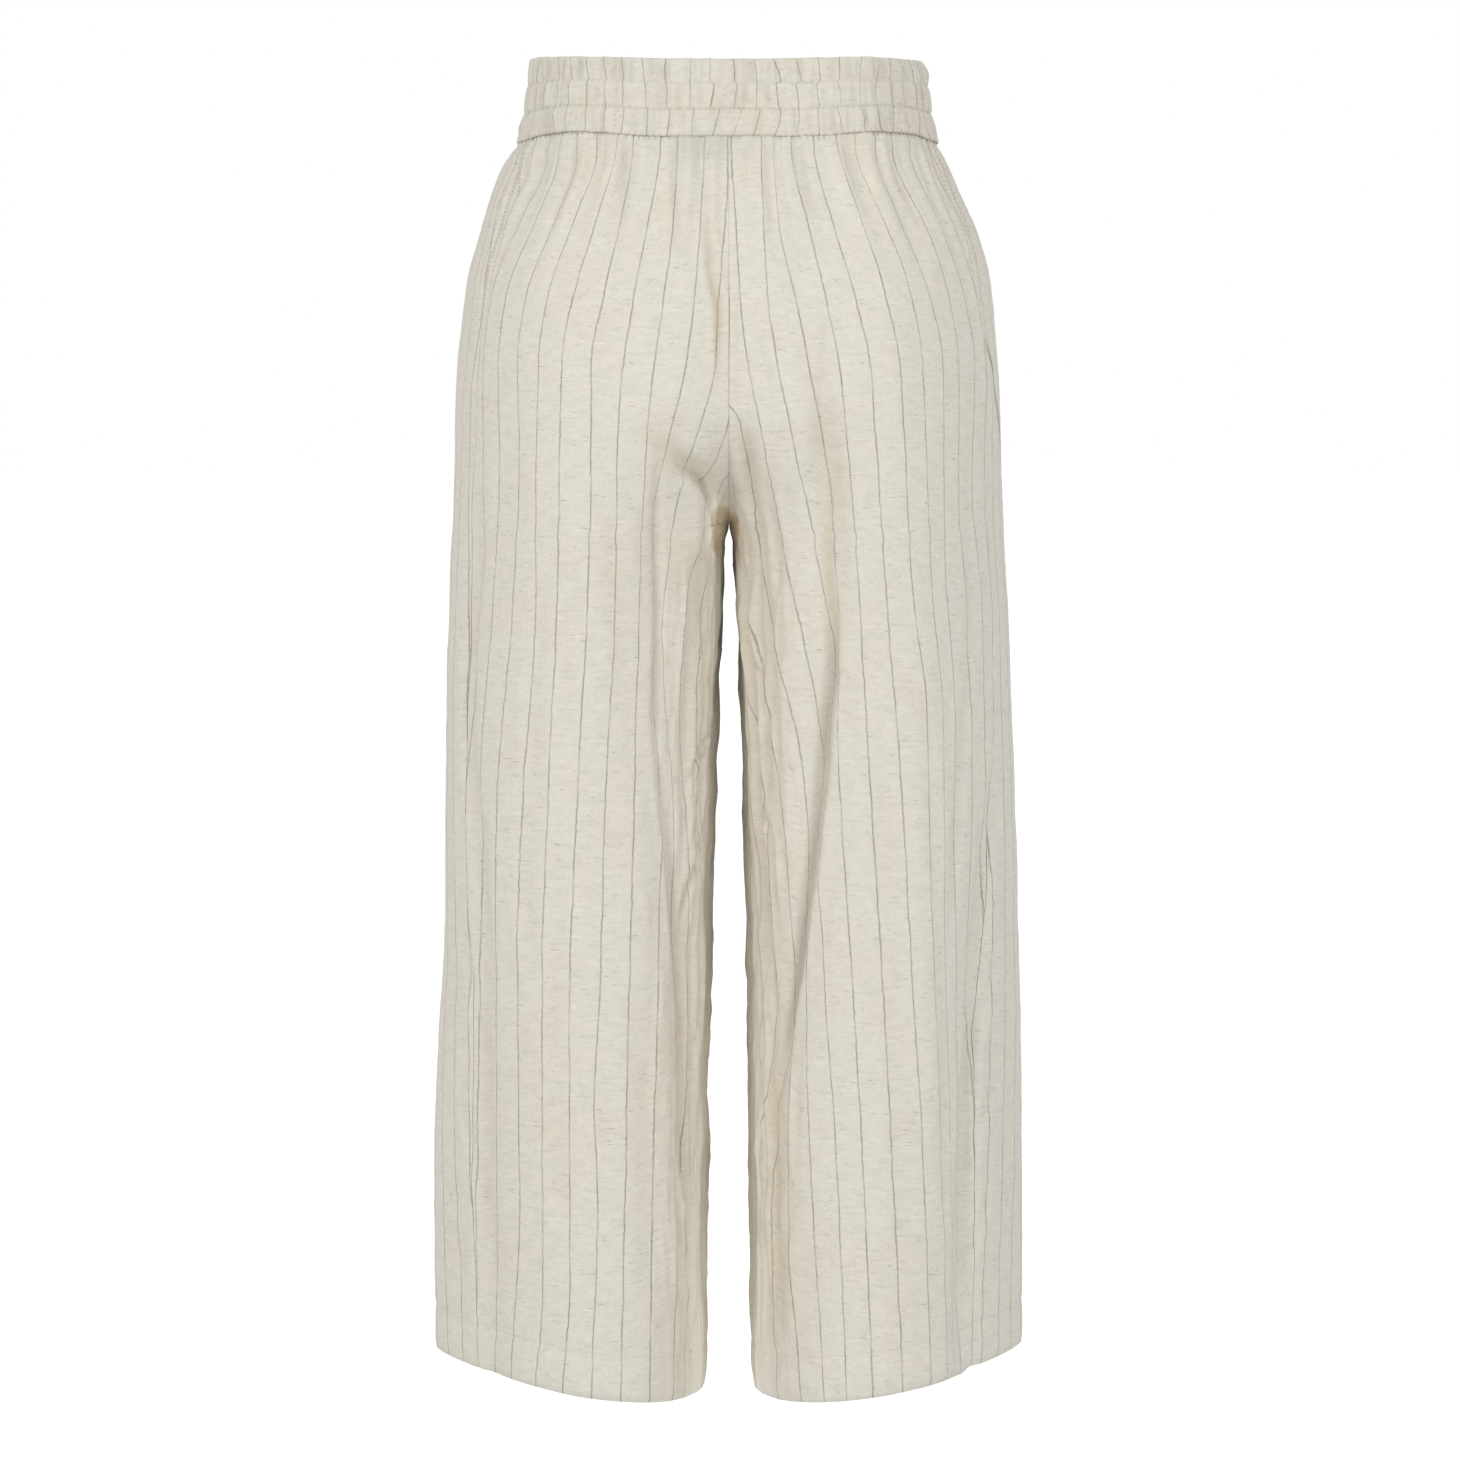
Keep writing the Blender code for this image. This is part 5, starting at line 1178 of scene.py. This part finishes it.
def linen(name, base, stripe=(0.235, 0.220, 0.190), shift=0.0, stripe_strength=0.78, mottle=1.0):
    """Plain linen-blend weave with slubs and thin yarn-dyed stripes, drawn in millimetres of the flat cloth."""
    s = Shader(name)
    at = s.node("ShaderNodeUVMap", uv_map="flat_cloth").outputs[0]
    split = s.node("ShaderNodeSeparateXYZ")
    s.wire(at, split.inputs[0])
    u0 = s.math("MULTIPLY", split.outputs[0], 1000.0)
    v = s.math("MULTIPLY", split.outputs[1], 1000.0)

    # Yarns wander a little to either side.
    sway = s.noise(s.vector(s.math("MULTIPLY", u0, 0.02), s.math("MULTIPLY", v, 0.035), 3.0), detail=2.0)
    u = s.math("ADD", u0, s.math("MULTIPLY", s.math("SUBTRACT", sway, 0.5), 1.7))
    jitter = s.noise(s.vector(s.math("MULTIPLY", u0, 0.05), s.math("MULTIPLY", v, 0.17), 13.0), detail=2.0)
    u = s.math("ADD", u, s.math("MULTIPLY", s.math("SUBTRACT", jitter, 0.5), 1.3))

    # The stripes: two dark warp yarns side by side, uneven along their length.
    turn = s.math("ADD", s.math("DIVIDE", s.math("ADD", u, shift), PITCH), 0.5)
    number = s.math("FLOOR", turn)
    off = s.math("MULTIPLY", s.math("ABSOLUTE", s.math("SUBTRACT", s.math("FRACT", turn), 0.5)), PITCH)
    edge = s.noise(s.vector(s.math("MULTIPLY", u, 1.3), s.math("MULTIPLY", v, 0.9), 8.0), detail=2.0)
    off = s.math("ADD", off, s.math("MULTIPLY", s.math("SUBTRACT", edge, 0.5), 0.28))
    line = s.ramp(off, 0.24, 0.74, 1.0, 0.0)
    long = s.noise(s.vector(s.math("MULTIPLY", number, 7.31), s.math("MULTIPLY", v, 0.045), 1.0), detail=2.0)
    short = s.noise(s.vector(s.math("MULTIPLY", number, 3.17), s.math("MULTIPLY", v, 0.42), 5.0), detail=1.0)
    strength = s.math("MULTIPLY", s.ramp(long, 0.25, 0.66, 0.42, 1.0), s.ramp(short, 0.22, 0.6, 0.68, 1.0))
    line = s.math("MULTIPLY", line, s.math("MULTIPLY", strength, stripe_strength))
    # Where painted light lifts the cloth between the legs, the stripes fade into it.
    tones_at = s.node("ShaderNodeSeparateXYZ")
    s.wire(s.node("ShaderNodeUVMap", uv_map="warm_and_shade").outputs[0], tones_at.inputs[0])
    lift = s.ramp(tones_at.outputs[1], 0.0, -1.0, smooth=False)
    line = s.math("MULTIPLY", line, s.ramp(lift, 0.0, 1.0, 1.0, 0.25))

    # Slubs: thick places in the weft, and fewer in the warp.
    weft = s.noise(s.vector(s.math("MULTIPLY", u, 0.085), s.math("MULTIPLY", v, 0.46), 11.0), detail=3.0, roughness=0.6)
    weft_dark = s.ramp(weft, 0.54, 0.74)
    weft_pale = s.ramp(weft, 0.46, 0.28)
    few = s.ramp(s.noise(s.vector(s.math("MULTIPLY", u, 0.05), s.math("MULTIPLY", v, 0.11), 29.0), detail=1.0), 0.46, 0.62)
    fleck = s.noise(s.vector(s.math("MULTIPLY", u, 0.15), s.math("MULTIPLY", v, 0.85), 17.0), detail=1.0)
    fleck = s.math("MULTIPLY", s.ramp(fleck, 0.62, 0.74), few)
    warp = s.noise(s.vector(s.math("MULTIPLY", u, 0.9), s.math("MULTIPLY", v, 0.05), 23.0), detail=2.0, roughness=0.6)
    warp_dark = s.ramp(warp, 0.60, 0.80)

    # The weave itself: yarns 0.62 mm apart over and under each other.
    across = s.math("SINE", s.math("MULTIPLY", u, 2 * pi / 0.62))
    down = s.math("SINE", s.math("MULTIPLY", v, 2 * pi / 0.58))
    weave = s.math("MULTIPLY", across, down)

    # Broad faint patches, warmer and cooler.
    patch = s.noise(s.vector(s.math("MULTIPLY", u, 0.06), s.math("MULTIPLY", v, 0.045), 41.0), detail=3.0, roughness=0.55)
    small = s.noise(s.vector(s.math("MULTIPLY", u, 0.31), s.math("MULTIPLY", v, 0.28), 47.0), detail=3.0, roughness=0.65)

    def tone(k, tint=(1.0, 1.0, 1.0)):
        return tuple(c * k * t for c, t in zip(base, tint)) + (1.0,)

    colour = s.mix(s.ramp(patch, 0.32, 0.68), tone(1.0, (0.985, 1.0, 0.99)), tone(1.0, (1.012, 0.992, 0.975)))
    blot = s.noise(s.vector(s.math("MULTIPLY", u, 0.085), s.math("MULTIPLY", v, 0.12), 53.0), detail=3.0, roughness=0.6)
    colour = s.mix(s.ramp(blot, 0.40, 0.66, 0.0, 0.75 * mottle), colour, tone(0.93, (1.0, 0.99, 0.985)))
    colour = s.mix(s.ramp(small, 0.36, 0.68, 0.0, 0.50 * mottle), colour, tone(0.90, (1.0, 0.985, 0.97)))
    colour = s.mix(s.math("MULTIPLY", weft_dark, 0.46), colour, tone(0.76))
    colour = s.mix(s.math("MULTIPLY", weft_pale, 0.52), colour, tone(1.10))
    colour = s.mix(s.math("MULTIPLY", fleck, 0.62), colour, tone(0.52, (1.0, 0.97, 0.92)))
    colour = s.mix(s.math("MULTIPLY", warp_dark, 0.20), colour, tone(0.82))
    colour = s.mix(s.ramp(weave, -1.0, 1.0, 0.10, 0.0, smooth=False), colour, tone(0.62))
    colour = s.mix(line, colour, tuple(stripe) + (1.0,))

    # Sewing: a row of stitches beside each side seam above the hip, and one round the turn-up's top.
    seams = s.node("ShaderNodeSeparateXYZ")
    s.wire(s.node("ShaderNodeUVMap", uv_map="from_seams").outputs[0], seams.inputs[0])
    beside = s.math("MULTIPLY", seams.outputs[0], 1000.0)
    above_hem = s.math("MULTIPLY", seams.outputs[1], 1000.0)
    dash_down = s.ramp(s.math("FRACT", s.math("DIVIDE", v, 3.1)), 0.62, 0.72, 1.0, 0.0)
    dash_round = s.ramp(s.math("FRACT", s.math("DIVIDE", u0, 3.1)), 0.62, 0.72, 1.0, 0.0)
    hip = s.ramp(above_hem, 690.0, 740.0)
    rows = None
    for at_row in (1.3, 6.6):
        row = s.ramp(s.math("ABSOLUTE", s.math("SUBTRACT", beside, at_row)), 0.25, 0.65, 1.0, 0.0)
        row = s.math("MULTIPLY", s.math("MULTIPLY", row, dash_down), s.math("MULTIPLY", hip, 0.60))
        rows = row if rows is None else s.math("MAXIMUM", rows, row)
    row = s.ramp(s.math("ABSOLUTE", s.math("SUBTRACT", above_hem, HEM_DEPTH)), 0.2, 0.6, 1.0, 0.0)
    rows = s.math("MAXIMUM", rows, s.math("MULTIPLY", s.math("MULTIPLY", row, dash_round), 0.17))
    colour = s.mix(rows, colour, tone(0.42, (1.0, 0.95, 0.88)))

    # Painted light and shade: warm bounce light where cloth lies over cloth, cooler light on the outer right leg, shade
    # deep in the folds, and where the shade runs below 0, light from the other leg, browner where it is strongest.
    colour = s.mix(s.ramp(tones_at.outputs[0], 0.0, 1.0, smooth=False), colour, (0.965, 0.910, 0.835, 1.0), blend="MULTIPLY")
    colour = s.mix(s.ramp(tones_at.outputs[0], 0.0, -1.0, smooth=False), colour, (0.935, 0.965, 1.0, 1.0), blend="MULTIPLY")
    colour = s.mix(s.ramp(tones_at.outputs[1], 0.0, 1.0, smooth=False), colour, (0.27, 0.215, 0.155, 1.0), blend="MULTIPLY")
    painted_bounce_colour = s.mix(s.ramp(lift, 0.80, 1.0), (0.95, 0.91, 0.82, 1.0), (0.76, 0.645, 0.47, 1.0))
    colour = s.mix(s.math("MULTIPLY", lift, 0.90), colour, painted_bounce_colour)

    height = s.math("ADD", s.math("MULTIPLY", weave, 0.030), s.math("MULTIPLY", weft_dark, 0.10))
    height = s.math("ADD", height, s.math("MULTIPLY", warp_dark, 0.05))
    height = s.math("ADD", height, s.math("MULTIPLY", small, 0.22))
    height = s.math("ADD", height, s.math("MULTIPLY", weft, 0.30))
    height = s.math("ADD", height, s.math("MULTIPLY", fleck, 0.06))
    bump = s.node("ShaderNodeBump")
    bump.inputs["Strength"].default_value = 0.85
    bump.inputs["Distance"].default_value = 0.001
    s.wire(height, bump.inputs["Height"])

    shader = s.node("ShaderNodeBsdfPrincipled")
    s.wire(colour, shader.inputs["Base Color"])
    s.wire(s.ramp(small, 0.3, 0.7, 0.86, 0.95), shader.inputs["Roughness"])
    shader.inputs["Specular IOR Level"].default_value = 0.22
    shader.inputs["Sheen Weight"].default_value = 0.12
    shader.inputs["Sheen Roughness"].default_value = 0.55
    shader.inputs["Sheen Tint"].default_value = (1.0, 0.97, 0.92, 1.0)
    s.wire(bump.outputs[0], shader.inputs["Normal"])
    out = s.node("ShaderNodeOutputMaterial")
    s.wire(shader.outputs[0], out.inputs["Surface"])
    return s.mat


def plain(name, colour, roughness=0.9, glow=0.0):
    s = Shader(name)
    shader = s.node("ShaderNodeBsdfPrincipled")
    shader.inputs["Base Color"].default_value = tuple(colour) + (1.0,)
    shader.inputs["Roughness"].default_value = roughness
    shader.inputs["Specular IOR Level"].default_value = 0.2
    out = s.node("ShaderNodeOutputMaterial")
    if glow:
        # It shows white, as an evenly lit studio floor does.
        lamp = s.node("ShaderNodeEmission")
        lamp.inputs["Strength"].default_value = glow
        both = s.node("ShaderNodeAddShader")
        s.wire(shader.outputs[0], both.inputs[0])
        s.wire(lamp.outputs[0], both.inputs[1])
        mix = s.node("ShaderNodeMixShader")
        s.wire(s.node("ShaderNodeLightPath").outputs["Is Camera Ray"], mix.inputs[0])
        s.wire(shader.outputs[0], mix.inputs[1])
        s.wire(both.outputs[0], mix.inputs[2])
        s.wire(mix.outputs[0], out.inputs["Surface"])
    else:
        s.wire(shader.outputs[0], out.inputs["Surface"])
    return s.mat


# ================================================================ the garment ================================

LINEN = (0.718, 0.688, 0.611)
LINEN_INSIDE = (0.66, 0.615, 0.53)

panel_linen = linen("striped_linen", LINEN)
band_linen = linen("striped_linen_band", tuple(c * 0.985 for c in LINEN), shift=6.0)
hem_linen = linen("striped_linen_reverse", LINEN_INSIDE, stripe_strength=0.6)

COLUMNS = {"back": 244, "front": 168}
for side in ("left", "right"):
    mirror = np.array((1.0, 1.0, 1.0)) if side == "left" else np.array((-1.0, 1.0, 1.0))
    for face in ("back", "front"):
        panel, p, out = panel_surface(side, face, COLUMNS[face])
        # The upper edge goes on a little way behind the band. The lower one is folded: it turns in and a little way up
        # again, to meet the turn-up.
        upper, lower = p[0], p[-1]
        behind = [(upper - out[0] * inward_by + (0, 0, up))[None] for inward_by, up in ((2.8, 8.2), (1.8, 6.0), (1.05, 4.2), (0.55, 2.6), (0.22, 1.2))]
        turned = [(lower - out[-1] * inward_by + (0, 0, up))[None] for inward_by, up in ((0.35, -0.30), (0.85, -0.25), (1.15, 0.25))]
        p = np.concatenate(behind + [p] + turned)

        def edged(a, above=(0.0, 0.0, 0.0, 0.0, 0.0), below=(0.0, 0.0, 0.0)):
            return np.vstack([a[:1] + k for k in above] + [a] + [a[-1:] + k for k in below])

        u = edged(panel.u)
        up = (-8.2, -6.0, -4.2, -2.6, -1.2)
        v = edged(panel.v, up, (0.4, 0.9, 1.4))
        s_from, h_from = edged(panel.s), edged(panel.z0 - HEM_Z)
        warm, shade = edged(panel.warm), edged(panel.shade)
        shade = np.clip(shade + seam_beads(edged(panel.x), edged(panel.q), edged(panel.below_waist, up), face), -1, 1)
        n, m = u.shape
        faces = grid_faces(n, m)
        maps = [grid_uv(u, -v), grid_uv(s_from, h_from) * 0.001, grid_uv(warm, shade)]
        if (face == "front") != (side == "right"):
            faces = faces[:, ::-1]
            maps = [q.reshape(-1, 4, 2)[:, ::-1].reshape(-1, 2) for q in maps]
        name = f"{face}_{side}_cloth"
        more = (("from_seams", maps[1]), ("warm_and_shade", maps[2]))
        obj = make_mesh(name, (p * mirror).reshape(-1, 3), maps[0], faces, panel_linen, more=more)
        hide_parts(f"{face}_{side}")
        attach(obj, "root")

    p, u, v, width = hem_surface(side)
    n, m = u.shape
    faces = grid_faces(n, m, closed=True)
    uv = grid_uv(u, v, closed_width=width)
    if side == "left":
        faces = faces[:, ::-1]
        uv = uv.reshape(-1, 4, 2)[:, ::-1].reshape(-1, 2)
    far, none = np.full_like(uv, 0.5), np.zeros_like(uv)
    more = (("from_seams", far), ("warm_and_shade", none))
    obj = make_mesh(f"hem_{side}_cloth", (p * mirror).reshape(-1, 3), uv, faces, hem_linen, thick=0.6, more=more)
    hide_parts(f"hem_{side}")
    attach(obj, "root")

p, u, v, width, shade, x = band_surface()
n, m = u.shape
faces = grid_faces(n, m, closed=True)
uv = grid_uv(u, v, closed_width=width)
across = np.stack((np.tile(x, (n, 1)), v, 0 * v), -1) + 900
warm = 0.18 + 0.30 * noise3(across, (26.0, 17.0, 9.0)) + 0.30 * noise3(across + 50, (3.2, 14.0, 9.0))
# The band's warmth wanders at random; its painted shade goes into the same map.
tone_map = grid_uv(warm, shade, closed_width=0.0)
more = (("from_seams", np.full_like(uv, 0.5)), ("warm_and_shade", tone_map))
obj = make_mesh("waistband_cloth", p.reshape(-1, 3), uv, faces, band_linen, thick=0.6, more=more)
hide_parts("waistband")
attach(obj, "root")

# ================================================================ light, floor and camera ================================

bpy.ops.mesh.primitive_circle_add(vertices=96, radius=40.0, fill_type="NGON", location=(0, 0, -1.14))
floor = bpy.context.object
floor.name = "floor"
floor.data.materials.append(plain("pale_floor", (0.84, 0.84, 0.84), 0.95, glow=0.50))

world = bpy.data.worlds.new("studio")
bpy.context.scene.world = world
world.use_nodes = True
tree = world.node_tree
tree.nodes.clear()
light = tree.nodes.new("ShaderNodeBackground")
light.inputs["Color"].default_value = (1.0, 1.0, 1.0, 1.0)
light.inputs["Strength"].default_value = 0.73
seen = tree.nodes.new("ShaderNodeBackground")
seen.inputs["Color"].default_value = (1.0, 1.0, 1.0, 1.0)
seen.inputs["Strength"].default_value = 1.0
path = tree.nodes.new("ShaderNodeLightPath")
mix = tree.nodes.new("ShaderNodeMixShader")
out = tree.nodes.new("ShaderNodeOutputWorld")
tree.links.new(path.outputs["Is Camera Ray"], mix.inputs[0])
tree.links.new(light.outputs[0], mix.inputs[1])
tree.links.new(seen.outputs[0], mix.inputs[2])
tree.links.new(mix.outputs[0], out.inputs["Surface"])


def area_light(name, at, towards, size, watts, colour=(1.0, 1.0, 1.0)):
    data = bpy.data.lights.new(name, "AREA")
    data.shape = "RECTANGLE"
    data.size, data.size_y = size
    data.energy = watts
    data.color = colour
    obj = bpy.data.objects.new(name, data)
    obj.location = at
    obj.rotation_euler = (Vector(towards) - Vector(at)).to_track_quat("-Z", "Y").to_euler()
    bpy.context.scene.collection.objects.link(obj)
    return obj


# The camera looks from behind the garment, so its left is +X.
area_light("key", (2.0, 2.6, 1.1), (0.0, 0.0, -0.30), (1.5, 1.8), 34.0, (1.0, 1.0, 0.99))
area_light("fill", (-1.9, 2.7, 0.7), (0.0, 0.0, -0.30), (1.5, 1.8), 25.0, (0.98, 0.99, 1.0))

camera = bpy.data.cameras.new("camera")
camera.lens = 125.1
camera.sensor_width = 36.0
camera.clip_end = 200.0
eye = bpy.data.objects.new("camera", camera)
eye.location = (-0.0007, 3.39, -0.167)
eye.rotation_euler = (Vector((-0.0007, 0.0, -0.417)) - eye.location).to_track_quat("-Z", "Y").to_euler()
bpy.context.scene.collection.objects.link(eye)
bpy.context.scene.camera = eye

bpy.context.scene.view_settings.view_transform = "Standard"
bpy.context.scene.view_settings.look = "None"
bpy.context.scene.view_settings.exposure = 0.0
bpy.context.scene.view_settings.gamma = 1.0
